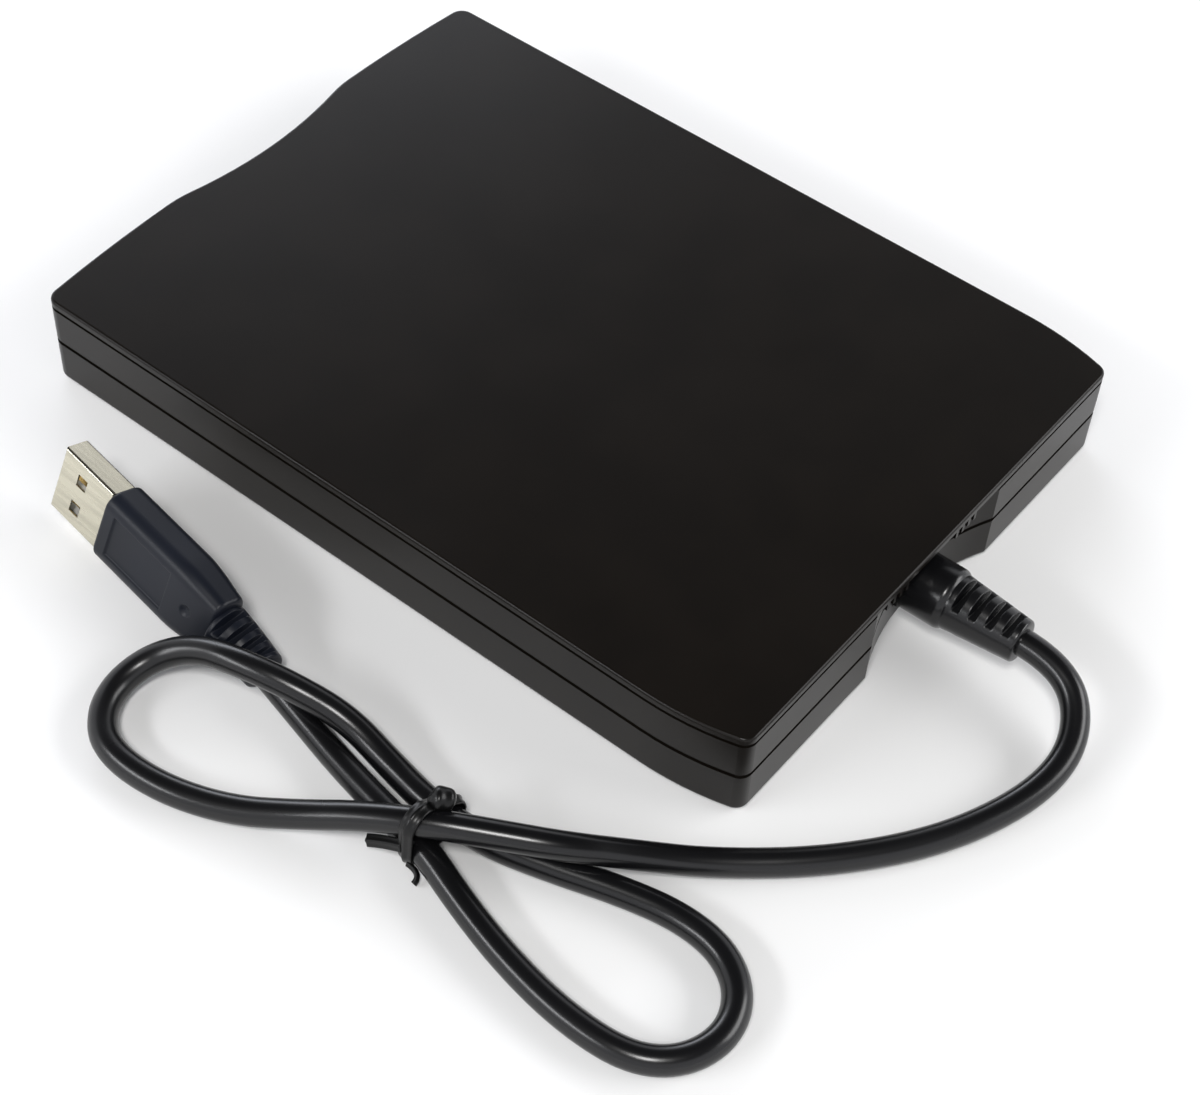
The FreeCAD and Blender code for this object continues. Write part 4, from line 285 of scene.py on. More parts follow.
# The taper is this share of a slot pitch longer than its slots need.
SLEEVE_END_PITCHES = 0.2
SLEEVE_ROWS = 320
SLOT_COUNT = 4
SLOT_WIDTH = 1.25 * MM
SLOT_CORE = 2.5 * MM
SLOT_EDGE = 0.16 * MM
RING_POINTS = 96
# Stands in for a sine nearer zero, because the sine divides.
LEAST_SINE = 0.05


def sleeve_radius(y):
    """Radius of the plain sleeve: a head with quarter-round ends, then a straight taper with a
    quarter-round tip, and the larger of the two where they overlap."""
    head_end = SLEEVE_START_Y + SLEEVE_HEAD_LENGTH
    head = SLEEVE_HEAD_RADIUS - edge_inset(y - SLEEVE_START_Y, SLEEVE_HEAD_LENGTH, SLEEVE_EDGE)
    head = np.where(y <= head_end, head, 0.0)
    share = np.clip((y - head_end) / (SLEEVE_END_Y - head_end), 0.0, 1.0)
    taper = SLEEVE_SHOULDER_RADIUS + (SLEEVE_END_RADIUS - SLEEVE_SHOULDER_RADIUS) * share
    into_tip = np.clip(y - SLEEVE_END_Y + SLEEVE_END_EDGE, 0.0, SLEEVE_END_EDGE)
    taper = taper - (SLEEVE_END_EDGE - np.sqrt(SLEEVE_END_EDGE**2 - into_tip**2))
    return np.where(y > head_end - SLEEVE_OVERLAP, np.maximum(head, taper), head)


def slot_depth(along, first, pitch, width):
    """1 in the middle of a slot and 0 between slots, from the distance to the nearest slot."""
    index = np.clip(np.round((along - first) / pitch), 0, SLOT_COUNT - 1)
    away = np.abs(along - first - index * pitch)
    return 1.0 - smooth_step(away, width / 2 - SLOT_EDGE, width / 2 + SLOT_EDGE)


def slotted(radius, core, angle, depth):
    """The radius of a slotted ring: between slots the plain radius, and in a slot no more than the
    core divided by the sine of the angle, which is a flat face above and below."""
    flat = core / np.maximum(np.abs(np.sin(angle)), LEAST_SINE)
    return radius * (1.0 - depth) + np.minimum(radius, flat) * depth


sleeve_y = np.linspace(SLEEVE_START_Y, SLEEVE_END_Y, SLEEVE_ROWS)[:, None]
ring_angle = np.linspace(0.0, 2 * math.pi, RING_POINTS, endpoint=False)[None, :]
slot_pitch = (SLEEVE_END_Y - SLEEVE_START_Y - SLEEVE_HEAD_LENGTH) / (SLOT_COUNT + SLEEVE_END_PITCHES)
first_slot = SLEEVE_START_Y + SLEEVE_HEAD_LENGTH + slot_pitch / 2
sleeve_slots = slot_depth(sleeve_y, first_slot, slot_pitch, SLOT_WIDTH)
slotted_radius = slotted(sleeve_radius(sleeve_y), SLOT_CORE, ring_angle, sleeve_slots)
sleeve_centre = np.array([SLEEVE_X, 0.0, SLEEVE_Z]) + sleeve_y * [0.0, 1.0, 0.0]
sleeve = skin("cord_sleeve", ring_grid(
    sleeve_centre, slotted_radius, ring_angle, [1.0, 0.0, 0.0], [0.0, 0.0, 1.0]))

# %% [markdown]
# ## Neck and flange of the sleeve
#
# In the wall the sleeve is held by a square neck and a flange, which nobody sees. Moulded pieces
# have rounded corners, so their outline is a rectangle with quarter circles at its corners, shared
# out evenly along its length so that the flats have enough points to carry details.

# %% Make the neck and the flange
CORNER_POINTS = 13
BLOCK_POINTS = 64
EDGE_LEVELS = 7


def rounded_outline(half_width, half_height, corner, count):
    """Points at equal steps round a rectangle whose corners are quarter circles: each corner's
    centre plus the corner radius times (cosine, sine), joined by straight sides."""
    turn = np.linspace(0.0, math.pi / 2, CORNER_POINTS)
    signs = np.array([[1, 1], [-1, 1], [-1, -1], [1, -1]])
    centres = signs * [half_width - corner, half_height - corner]
    angles = turn[None, :] + np.arange(4)[:, None] * math.pi / 2
    arcs = centres[:, None, :] + corner * np.stack([np.cos(angles), np.sin(angles)], axis=-1)
    line = np.concatenate([arcs.reshape(-1, 2), arcs[0, :1]])
    travelled = np.concatenate([[0.0], np.cumsum(np.linalg.norm(np.diff(line, axis=0), axis=1))])
    steps = np.linspace(0.0, travelled[-1], count, endpoint=False)
    return np.stack([np.interp(steps, travelled, line[:, k]) for k in range(2)], axis=-1)


def rounded_block(name, low, high, corner):
    """An upright block between two corners, with rounded edges: each level is a rounded outline,
    drawn in near the top and bottom by a quarter circle."""
    low = np.array(low)
    high = np.array(high)
    middle = (low + high) / 2
    half = (high - low) / 2
    lift = np.linspace(0.0, math.pi / 2, EDGE_LEVELS)
    inset = np.concatenate([corner * (1 - np.sin(lift)), corner * (1 - np.cos(lift))])
    bottom_levels = low[2] + corner * (1 - np.cos(lift))
    top_levels = high[2] - corner * (1 - np.sin(lift))
    levels = np.concatenate([bottom_levels, top_levels])
    outline = rounded_outline(half[0], half[1], corner, BLOCK_POINTS)
    scale = 1.0 - inset[:, None, None] / half[:2]
    flat = middle[:2] + outline[None] * scale
    heights = np.broadcast_to(levels[:, None, None], flat.shape[:2] + (1,))
    return skin(name, np.concatenate([flat, heights], axis=-1))


NECK_HALF = 4.0 * MM
NECK_SETBACK = 0.2 * MM
NECK_IN_SLEEVE = 1.0 * MM
FLANGE_THICKNESS = 1.4 * MM
BLOCK_EDGE = 0.4 * MM
sleeve_low, sleeve_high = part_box("strain_relief")
flange_high = (sleeve_high[0], sleeve_low[1] + FLANGE_THICKNESS, sleeve_high[2])
flange = rounded_block("sleeve_flange", sleeve_low, flange_high, BLOCK_EDGE)
neck_low = (SLEEVE_X - NECK_HALF, sleeve_low[1] + NECK_SETBACK, SLEEVE_Z - NECK_HALF)
neck_high = (SLEEVE_X + NECK_HALF, SLEEVE_START_Y + NECK_IN_SLEEVE, SLEEVE_Z + NECK_HALF)
neck = rounded_block("sleeve_neck", neck_low, neck_high, BLOCK_EDGE)

# %% [markdown]
# ## Body of the plug
#
# The plug's body is moulded over the cord's end: a grip of even section that tapers to the cord,
# with a plain sunk panel on each broad face and a small round dimple behind it. The section is a
# rounded rectangle carried along the plug's axis. The panel and the dimple are where the skin is
# pushed in, worked out from each point's place on the face.

# %% Place the plug
PLUG_FACE = np.array([72.95, -33.2, 8.5]) * MM
PLUG_TIP_DIRECTION = unit(np.array([-0.116, -0.988, 0.100]))
PLUG_LEAN = math.radians(20.0)
upright = unit(np.array([0.0, 0.0, 1.0]) - PLUG_TIP_DIRECTION * PLUG_TIP_DIRECTION[2])
sideways = np.cross(PLUG_TIP_DIRECTION, upright)
plug_width = upright * math.cos(PLUG_LEAN) + sideways * math.sin(PLUG_LEAN)
plug_thick = np.cross(PLUG_TIP_DIRECTION, plug_width)
print("plug's width runs along", np.round(plug_width, 3).tolist())

# %% Make the plug's body
BODY_HALF_WIDTH = 6.5 * MM
BODY_HALF_THICKNESS = 3.7 * MM
BODY_CORNER = 2.5 * MM
BODY_STRAIGHT = 18.0 * MM
BODY_LENGTH = 26.5 * MM
BODY_EDGE = 0.7 * MM
BODY_TAPER_START = BODY_STRAIGHT - 1.0 * MM
BODY_TAPER_END = BODY_LENGTH + 4.0 * MM
# At the taper's end, which lies past the body's own, the section has shrunk by this share.
BODY_SHRINK = 0.2688
BODY_ROWS = 190
BODY_EDGE_ROWS = 10
BODY_POINTS = 240
PANEL_MARGIN = 2.6 * MM
PANEL_BACK_MARGIN = 1.6 * MM
PANEL_DEPTH = 0.4 * MM
PANEL_EDGE = 0.22 * MM
# A point this near the full half thickness lies on a broad face.
FLAT_WITHIN = 0.02 * MM
DIMPLE_PLACE = 21.0 * MM
DIMPLE_RADIUS = 1.1 * MM
DIMPLE_DEPTH = 0.45 * MM

along = np.unique(np.concatenate([
    np.linspace(0.0, BODY_EDGE, BODY_EDGE_ROWS),
    np.linspace(BODY_EDGE, BODY_LENGTH - BODY_EDGE, BODY_ROWS),
    np.linspace(BODY_LENGTH - BODY_EDGE, BODY_LENGTH, BODY_EDGE_ROWS)]))[:, None]
section = rounded_outline(BODY_HALF_WIDTH, BODY_HALF_THICKNESS, BODY_CORNER, BODY_POINTS)
scale = 1.0 - BODY_SHRINK * smooth_step(along, BODY_TAPER_START, BODY_TAPER_END)
inset = edge_inset(along, BODY_LENGTH, BODY_EDGE)
across = section[None, :, 0] * (scale - inset / BODY_HALF_WIDTH)
through = section[None, :, 1] * (scale - inset / BODY_HALF_THICKNESS)
on_broad_face = np.abs(section[None, :, 1]) > BODY_HALF_THICKNESS - FLAT_WITHIN
inside_width = BODY_HALF_WIDTH - PANEL_MARGIN - np.abs(across)
inside_length = np.minimum(along - PANEL_MARGIN, BODY_STRAIGHT - PANEL_BACK_MARGIN - along)
panel = smooth_step(np.minimum(inside_width, inside_length), 0.0, PANEL_EDGE)
from_dimple = np.hypot(across, along - DIMPLE_PLACE)
dimple = np.clip(1.0 - (from_dimple / DIMPLE_RADIUS) ** 2, 0.0, 1.0)
push = on_broad_face * (panel * PANEL_DEPTH + dimple * DIMPLE_DEPTH)
through = through - np.sign(through) * push
plug_body = skin("plug_body", PLUG_FACE - along[:, :, None] * PLUG_TIP_DIRECTION
                 + across[:, :, None] * plug_width + through[:, :, None] * plug_thick)

# %% [markdown]
# ## Relief behind the plug
#
# Between the plug's body and the cord sits a short relief of the same moulding, with four slots
# above and four below. It follows a smooth bend from the body's end to the cord's end, so its
# rings stand square to that path, and its slots are cut as in the sleeve at the wall.

# %% Make the relief
RELIEF_START_RADIUS = 4.1 * MM
RELIEF_END_RADIUS = 3.4 * MM
RELIEF_EDGE = 0.4 * MM
RELIEF_CORE = 2.35 * MM
RELIEF_SLOT_WIDTH = 1.1 * MM
RELIEF_IN_BODY = 0.2 * MM
RELIEF_MARGIN = 0.2 * MM
RELIEF_END_PITCHES = 0.1
RELIEF_ROWS = 240


def eased_path(start, end, start_direction, end_direction, count):
    """A path that leaves and arrives in given directions: the two ends and the two directions,
    each weighted by its cubic of the share t gone."""
    t = np.linspace(0.0, 1.0, count)[:, None]
    reach = np.linalg.norm(end - start)
    ends = start * (2 * t**3 - 3 * t**2 + 1) + end * (3 * t**2 - 2 * t**3)
    return ends + reach * (start_direction * (t**3 - 2 * t**2 + t) + end_direction * (t**3 - t**2))


relief_start = PLUG_FACE - PLUG_TIP_DIRECTION * (BODY_LENGTH - RELIEF_IN_BODY)
relief_end = cord_points[-1]
cord_direction = unit(cord_points[-2] - relief_end)
relief_path = eased_path(relief_start, relief_end, -PLUG_TIP_DIRECTION, cord_direction, RELIEF_ROWS)
relief_tangent = unit(np.gradient(relief_path, axis=0))
relief_side = unit(np.cross(relief_tangent, [0.0, 0.0, 1.0]))
relief_top = np.cross(relief_side, relief_tangent)
relief_steps = np.linalg.norm(np.diff(relief_path, axis=0), axis=1)
gone = np.concatenate([[0.0], np.cumsum(relief_steps)])[:, None]
relief_length = gone[-1, 0]
plain_radius = RELIEF_START_RADIUS + (RELIEF_END_RADIUS - RELIEF_START_RADIUS) * gone / relief_length
plain_radius = plain_radius - edge_inset(gone, relief_length, RELIEF_EDGE)
relief_pitch = (relief_length - 2 * RELIEF_MARGIN) / (SLOT_COUNT + RELIEF_END_PITCHES)
relief_slots = slot_depth(gone, RELIEF_MARGIN + relief_pitch / 2, relief_pitch, RELIEF_SLOT_WIDTH)
relief_radius = slotted(plain_radius, RELIEF_CORE, ring_angle, relief_slots)
plug_sleeve = skin("plug_sleeve", ring_grid(
    relief_path, relief_radius, ring_angle, relief_side, relief_top))

# %% [markdown]
# ## Twist tie
#
# The loops are held by a wire tie: a thin wire in a flat black plastic strip, drawn round the
# three strands and twisted on top into a small knot, an egg with two ridges that wind round it.
# One end of the strip points to the side, and the other sticks out as a short spike. A strip is a
# flat oval profile, thicker over its wire, carried along a path.

# %% Make the band
PROFILE_POINTS = 28
# A power under 1 makes the oval squarer.
OVAL_POWER = 0.6
RIB_HALF_WIDTH = 0.35 * MM


def carry(name, path, across, half_width, half_thickness, rib, closed=False):
    """A skin round a path: at each path point, a flat oval of cosine times half the width and sine,
    to a power under 1, times half the thickness, raised in its middle by the rib over the wire."""
    if closed:
        tangent = unit(np.roll(path, -1, axis=0) - np.roll(path, 1, axis=0))
    else:
        tangent = unit(np.gradient(path, axis=0))
    across = np.array(across)
    width = unit(across - tangent * np.sum(across * tangent, axis=-1, keepdims=True))
    normal = np.cross(tangent, width)
    turn = np.linspace(0.0, 2 * math.pi, PROFILE_POINTS, endpoint=False)[None, :]
    wide = np.cos(turn) * half_width
    upper_or_lower = np.sign(np.sin(turn))
    oval = np.abs(np.sin(turn)) ** OVAL_POWER * half_thickness
    thick = upper_or_lower * (oval + rib * np.exp(-((wide / RIB_HALF_WIDTH) ** 2)))
    grid = path[:, None, :] + wide[:, :, None] * width[:, None, :]
    return skin(name, grid + thick[:, :, None] * normal[:, None, :], closed_rows=closed)


TIE_Y = 40.2 * MM
TIE_STRANDS = np.array([[79.0, 3.6], [85.2, 3.65], [84.85, 8.2]]) * MM
TIE_STAND_OFF = 0.62 * MM
TIE_HALF_WIDTH = 1.3 * MM
TIE_HALF_THICKNESS = 0.3 * MM
TIE_RIB = 0.35 * MM
BAND_ROWS = 180

band_angle = np.linspace(0.0, 2 * math.pi, BAND_ROWS, endpoint=False)
outward = np.stack([np.cos(band_angle), np.sin(band_angle)], axis=-1)
furthest = np.argmax(outward @ TIE_STRANDS.T, axis=1)
loop = TIE_STRANDS[furthest] + outward * (CORD_DIAMETER / 2 + TIE_STAND_OFF)
loop_path = np.stack([loop[:, 0], np.full(len(loop), TIE_Y), loop[:, 1]], axis=-1)
tie_band = carry("tie_band", loop_path, [0.0, 1.0, 0.0], TIE_HALF_WIDTH, TIE_HALF_THICKNESS,
                 TIE_RIB, closed=True)

# %% Make the knot
KNOT_START = np.array([82.9, 40.3, 10.6]) * MM
KNOT_END = np.array([78.9, 41.9, 10.4]) * MM
KNOT_RADIUS = 1.85 * MM
KNOT_RIDGES = 2
KNOT_RIDGE_SHARE = 0.09
KNOT_TURNS = 1.5
# The egg's ends are cut flat at this share of its length.
KNOT_CAP_SHARE = 0.004
KNOT_ROWS = 90
KNOT_POINTS = 48

share = np.linspace(KNOT_CAP_SHARE, 1.0 - KNOT_CAP_SHARE, KNOT_ROWS)[:, None]
knot_axis = unit(KNOT_END - KNOT_START)
knot_side = unit(np.cross(knot_axis, [0.0, 0.0, 1.0]))
knot_top = np.cross(knot_side, knot_axis)
knot_angle = np.linspace(0.0, 2 * math.pi, KNOT_POINTS, endpoint=False)[None, :]
winding = KNOT_RIDGES * knot_angle - share * KNOT_TURNS * 2 * math.pi
ridges = 1.0 + KNOT_RIDGE_SHARE * np.cos(winding)
knot_radius = KNOT_RADIUS * np.sqrt(1.0 - (2 * share - 1.0) ** 2) * ridges
knot_centre = KNOT_START * (1 - share) + KNOT_END * share
knot = skin("tie_knot", ring_grid(knot_centre, knot_radius, knot_angle, knot_side, knot_top))

# %% Make the strip's two ends
END_ROWS = 60
STRIP_ROUTE = np.array([(88.0, 39.6, 5.3), (88.3, 36.6, 3.9), (89.0, 33.9, 2.4)]) * MM
STRIP_ACROSS = [-0.60, -0.45, 0.65]
STRIP_HALF_WIDTH = 1.0 * MM
SPIKE_ROUTE = np.array([(88.0, 40.6, 1.7), (87.8, 43.4, 1.5), (89.6, 43.2, 0.8)]) * MM
SPIKE_ACROSS = [0.2, -0.3, 1.0]
SPIKE_HALF_WIDTH = 0.6 * MM
SPIKE_HALF_THICKNESS = 0.3 * MM
SPIKE_RIB = 0.15 * MM


def bent_path(route):
    """A smooth path near three points: (1 - t) squared, 2 t (1 - t) and t squared of them."""
    t = np.linspace(0.0, 1.0, END_ROWS)[:, None]
    first, middle, last = route
    return first * (1 - t) ** 2 + middle * 2 * t * (1 - t) + last * t**2


tie_strip = carry("tie_strip", bent_path(STRIP_ROUTE), STRIP_ACROSS, STRIP_HALF_WIDTH,
                  TIE_HALF_THICKNESS, TIE_RIB)
tie_spike = carry("tie_spike", bent_path(SPIKE_ROUTE), SPIKE_ACROSS, SPIKE_HALF_WIDTH,
                  SPIKE_HALF_THICKNESS, SPIKE_RIB)

# %% [markdown]
# ## Springs
#
# Three small springs inside are hooked to one body and pull on another, so a stiff copy would be
# left hanging when the mechanism moves. Each is wound again as a round wire along a helix.

# %% Wind the springs
SLIDER_WIRE = 0.2 * MM
SLIDER_TURNS = 16
LEVER_WIRE = 0.15 * MM
LEVER_TURNS = 10
STEPS_PER_TURN = 20
WIRE_POINTS = 8


def coil(name, start, end, radius, wire, turns):
    """A wire along a helix: the centre goes from start to end while an arm square to the axis
    turns by cosine and sine, and the wire's ring stands square to the helix."""
    gone = np.linspace(0.0, 1.0, turns * STEPS_PER_TURN + 1)[:, None]
    axis = unit(end - start)
    side = unit(np.cross(axis, [0.0, 0.0, 1.0]))
    top = np.cross(side, axis)
    turn = gone * turns * 2 * math.pi
    arm = side * np.cos(turn) + top * np.sin(turn)
    path = start * (1 - gone) + end * gone + radius * arm
    across = np.cross(unit(np.gradient(path, axis=0)), arm)
    wire_angle = np.linspace(0.0, 2 * math.pi, WIRE_POINTS, endpoint=False)[None, :]
    return skin(name, ring_grid(path, wire, wire_angle, arm, across))


def new_spring(name, node, wire, turns, first_end, second_end):
    """A coil between two corners of the old spring's box, drawn in by half its height at each."""
    low, high = (np.array(corner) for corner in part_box(node))
    reach = (high[2] - low[2]) / 2
    ends = [np.where(np.array(pick) > 0, high - reach, low + reach) for pick in (first_end, second_end)]
    spring = coil(name, ends[0], ends[1], reach - wire, wire, turns)
    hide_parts(node)
    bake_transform(spring)
    return spring


springs = [
    new_spring(f"coil_{side}", f"slider_spring_{side}", SLIDER_WIRE, SLIDER_TURNS,
               (0, 0, 0), (0, 1, 0))
    for side in ("left", "right")]
springs.append(new_spring("coil_lever", "lever_spring", LEVER_WIRE, LEVER_TURNS,
                          (0, 0, 0), (1, 1, 0)))

# %% [markdown]
# ## Finishes
#
# Each finish is a small node tree on Object coordinates, in metres, so a pattern has its real size
# on every piece. A moulded plastic is one base colour with a fine grain that breaks up its
# reflection, and a slow change in gloss that keeps large faces from looking like paint.

# %% Helpers for finishes
NOISE_LOW = 0.3
NOISE_HIGH = 0.7
TONE_LOW = 0.4
TONE_HIGH = 0.6


def new_finish(name):
    """A new material; gives the material, its principled shader and its node tree."""
    material = bpy.data.materials.new(name)
    material.use_nodes = True
    tree = material.node_tree
    return material, tree.nodes["Principled BSDF"], tree


def object_noise(tree, scale, detail=2.0, squeeze=(1.0, 1.0, 1.0)):
    """A noise pattern on Object coordinates, squeezed by a factor on each axis. A factor under 1
    stretches it."""
    place = tree.nodes.new("ShaderNodeTexCoord")
    mapping = tree.nodes.new("ShaderNodeMapping")
    mapping.inputs["Scale"].default_value = squeeze
    noise = tree.nodes.new("ShaderNodeTexNoise")
    noise.inputs["Scale"].default_value = scale
    noise.inputs["Detail"].default_value = detail
    tree.links.new(place.outputs["Object"], mapping.inputs["Vector"])
    tree.links.new(mapping.outputs["Vector"], noise.inputs["Vector"])
    return noise


def vary(tree, source, target, low, high):
    """Send a pattern to a socket, so that its usual range runs from low to high."""
    spread = tree.nodes.new("ShaderNodeMapRange")
    spread.inputs["From Min"].default_value = NOISE_LOW
    spread.inputs["From Max"].default_value = NOISE_HIGH
    spread.inputs["To Min"].default_value = low
    spread.inputs["To Max"].default_value = high
    tree.links.new(source, spread.inputs["Value"])
    tree.links.new(spread.outputs["Result"], target)


def relief(tree, source, shader, strength, depth):
    """Tilt the surface by a pattern, as if it were that deep."""
    bump = tree.nodes.new("ShaderNodeBump")
    bump.inputs["Strength"].default_value = strength
    bump.inputs["Distance"].default_value = depth
    tree.links.new(source, bump.inputs["Height"])
    tree.links.new(bump.outputs["Normal"], shader.inputs["Normal"])


def two_tone(tree, source, shader, first, second):
    """Mix two colours by a pattern into the base colour."""
    ramp = tree.nodes.new("ShaderNodeValToRGB")
    ramp.color_ramp.elements[0].position = TONE_LOW
    ramp.color_ramp.elements[1].position = TONE_HIGH
    ramp.color_ramp.elements[0].color = (*first, 1.0)
    ramp.color_ramp.elements[1].color = (*second, 1.0)
    tree.links.new(source, ramp.inputs["Fac"])
    tree.links.new(ramp.outputs["Color"], shader.inputs["Base Color"])


# %% [markdown]
# Plastics and rubber first. The case is satin black: dark enough to swallow light, smooth enough
# to show a soft sheen along its edges. The cord's jacket is glossier, so it carries long bright
# lines, and the plug's body is a slightly blue charcoal.

# %% Plastics and rubber
LIGHTER_SHADE = 1.25
SHADE_SCALE = 60.0
GLOSS_SCALE = 35.0
GRAIN_DEPTH = 0.02 * MM


def plastic(name, colour, gloss_low, gloss_high, grain=1500.0, strength=0.12, level=0.5):
    """Moulded plastic: one colour that drifts a little lighter, roughness that drifts between two
    values, and a fine grain."""
    material, shader, tree = new_finish(name)
    lighter = tuple(value * LIGHTER_SHADE for value in colour)
    two_tone(tree, object_noise(tree, SHADE_SCALE).outputs["Fac"], shader, colour, lighter)
    shader.inputs["Specular IOR Level"].default_value = level
    gloss = object_noise(tree, GLOSS_SCALE).outputs["Fac"]
    vary(tree, gloss, shader.inputs["Roughness"], gloss_low, gloss_high)
    relief(tree, object_noise(tree, grain, 1.0).outputs["Fac"], shader, strength, GRAIN_DEPTH)
    return material


finishes = {
    "case_plastic": plastic("satin black case", (0.0046, 0.0035, 0.0026), 0.28, 0.30,
                            strength=0.02, level=0.21),
    "bezel_plastic": plastic("satin black bezel", (0.0070, 0.0070, 0.0070), 0.36, 0.42, level=0.35),
    "foot_rubber": plastic("matt black rubber", (0.014, 0.014, 0.014), 0.70, 0.80, 900.0, 0.3),
    "carriage_plastic": plastic("glass-filled grey", (0.11, 0.11, 0.12), 0.45, 0.55, 800.0, 0.25),
    "chip_plastic": plastic("black package", (0.018, 0.018, 0.019), 0.40, 0.50),
    "cord_jacket": plastic("glossy black jacket", (0.0035, 0.0035, 0.004), 0.23, 0.29, 900.0, 0.04,
                           level=0.48),
    "tie_plastic": plastic("black tie coating", (0.003, 0.003, 0.003), 0.30, 0.38, level=0.3),
    "plug_plastic": plastic("charcoal plug moulding", (0.0048, 0.0062, 0.0108), 0.34, 0.42,
                            level=0.26),
    "tongue_plastic": plastic("white insulator", (0.72, 0.72, 0.70), 0.35, 0.45),
    "ceramic": plastic("polished ceramic", (0.70, 0.69, 0.65), 0.12, 0.18, 900.0, 0.03),
    "core_wire": plastic("red wire insulation", (0.42, 0.03, 0.02), 0.30, 0.40),
}
print("plastics:", len(finishes))

# %% [markdown]
# Metals reflect only their own colour, so what makes them differ is the way they were worked:
# zinc-plated sheet is slightly cloudy, ground rods are bright, and the plug's shell is drawn
# metal with very fine lines along its length, which a noise pattern stretched along Y makes.

# %% Metals
DARKER_SHADE = 0.86
SCRATCH_DEPTH = 0.01 * MM
ALONG_Y = (1.0, 0.06, 1.0)


def metal(name, colour, gloss_low, gloss_high, squeeze=(1.0, 1.0, 1.0), scale=400.0, strength=0.05):
    """Bare metal: its colour as reflection, and roughness from a pattern stretched along the
    direction in which it was drawn or ground."""
    material, shader, tree = new_finish(name)
    darker = tuple(value * DARKER_SHADE for value in colour)
    pattern = object_noise(tree, scale, 3.0, squeeze).outputs["Fac"]
    two_tone(tree, pattern, shader, darker, colour)
    shader.inputs["Metallic"].default_value = 1.0
    vary(tree, pattern, shader.inputs["Roughness"], gloss_low, gloss_high)
    relief(tree, pattern, shader, strength, SCRATCH_DEPTH)
    return material


finishes.update({
    "zinc_steel": metal("zinc-plated sheet", (0.58, 0.58, 0.56), 0.32, 0.46, scale=160.0),
    "bright_steel": metal("ground steel", (0.72, 0.72, 0.73), 0.14, 0.22, ALONG_Y, 1200.0),
    "spring_steel": metal("spring wire", (0.46, 0.46, 0.46), 0.24, 0.34),
    "copper": metal("enamelled copper", (0.66, 0.28, 0.12), 0.24, 0.36, scale=900.0, strength=0.3),
    "brass": metal("sintered bronze", (0.58, 0.44, 0.22), 0.40, 0.52, scale=1200.0, strength=0.2),
    "gold": metal("gilded contact", (0.88, 0.64, 0.28), 0.16, 0.22),
    "plug_metal": metal("drawn plug shell", (0.60, 0.57, 0.46), 0.22, 0.30, ALONG_Y, 900.0),
})
print("finishes so far:", len(finishes))

# %% [markdown]
# The last three are made in their own way: circuit board with its paths under green lacquer, a
# ribbon whose wires show as stripes 1.27 mm apart, and the clear bar that guides the lamp's light.

# %% Board, ribbon and light guide
PATH_SCALE = 260.0
PATH_WIDTH = 0.05
RIBBON_PITCH = 1.27 * MM
WAVE_RATE = 20.0


def circuit_board():
    """Green lacquer over square-cornered paths: a brick pattern with thin, lighter joints."""
    material, shader, tree = new_finish("green circuit board")
    place = tree.nodes.new("ShaderNodeTexCoord")
    brick = tree.nodes.new("ShaderNodeTexBrick")
    brick.inputs["Scale"].default_value = PATH_SCALE
    brick.inputs["Mortar Size"].default_value = PATH_WIDTH
    brick.inputs["Color1"].default_value = (0.010, 0.085, 0.035, 1.0)
    brick.inputs["Color2"].default_value = (0.014, 0.100, 0.042, 1.0)
    brick.inputs["Mortar"].default_value = (0.040, 0.190, 0.080, 1.0)
    tree.links.new(place.outputs["Object"], brick.inputs["Vector"])
    tree.links.new(brick.outputs["Color"], shader.inputs["Base Color"])
    shader.inputs["Roughness"].default_value = 0.30
    return material


def striped_ribbon():
    """Pale ribbon with darker stripes along it: a sine wave across its width. The wave node turns
    by the wave rate times its scale in a metre, and by one full turn in each pitch."""
    material, shader, tree = new_finish("grey ribbon")
    place = tree.nodes.new("ShaderNodeTexCoord")
    wave = tree.nodes.new("ShaderNodeTexWave")
    wave.inputs["Scale"].default_value = 2 * math.pi / (WAVE_RATE * RIBBON_PITCH)
    tree.links.new(place.outputs["Object"], wave.inputs["Vector"])
    two_tone(tree, wave.outputs["Fac"], shader, (0.30, 0.30, 0.30), (0.66, 0.66, 0.64))
    shader.inputs["Roughness"].default_value = 0.45
    return material


def clear_guide():
    """Clear plastic with a faint green tint that lets most light through."""
    material, shader, tree = new_finish("clear light guide")
    shader.inputs["Base Color"].default_value = (0.80, 0.92, 0.80, 1.0)
    shader.inputs["Transmission Weight"].default_value = 0.85
    vary(tree, object_noise(tree, 300.0).outputs["Fac"], shader.inputs["Roughness"], 0.08, 0.14)
    return material


finishes.update({"board": circuit_board(), "ribbon": striped_ribbon(), "clear_plastic": clear_guide()})
print("finishes:", len(finishes))

# %% [markdown]
# ## Put the finishes on
#
# Every node of the construction model takes the finish of its slot. The new pieces name the slot
# they are painted from and the node they stand for, and each moves with the root body.

# %% Paint the nodes
def paint(piece, slot):
    """Give a piece one finish."""
    piece.data.materials.clear()
    piece.data.materials.append(finishes[slot])


for name, node in nodes.items():
    paint(node, slot_of_node[name])
print("painted", len(nodes), "nodes")

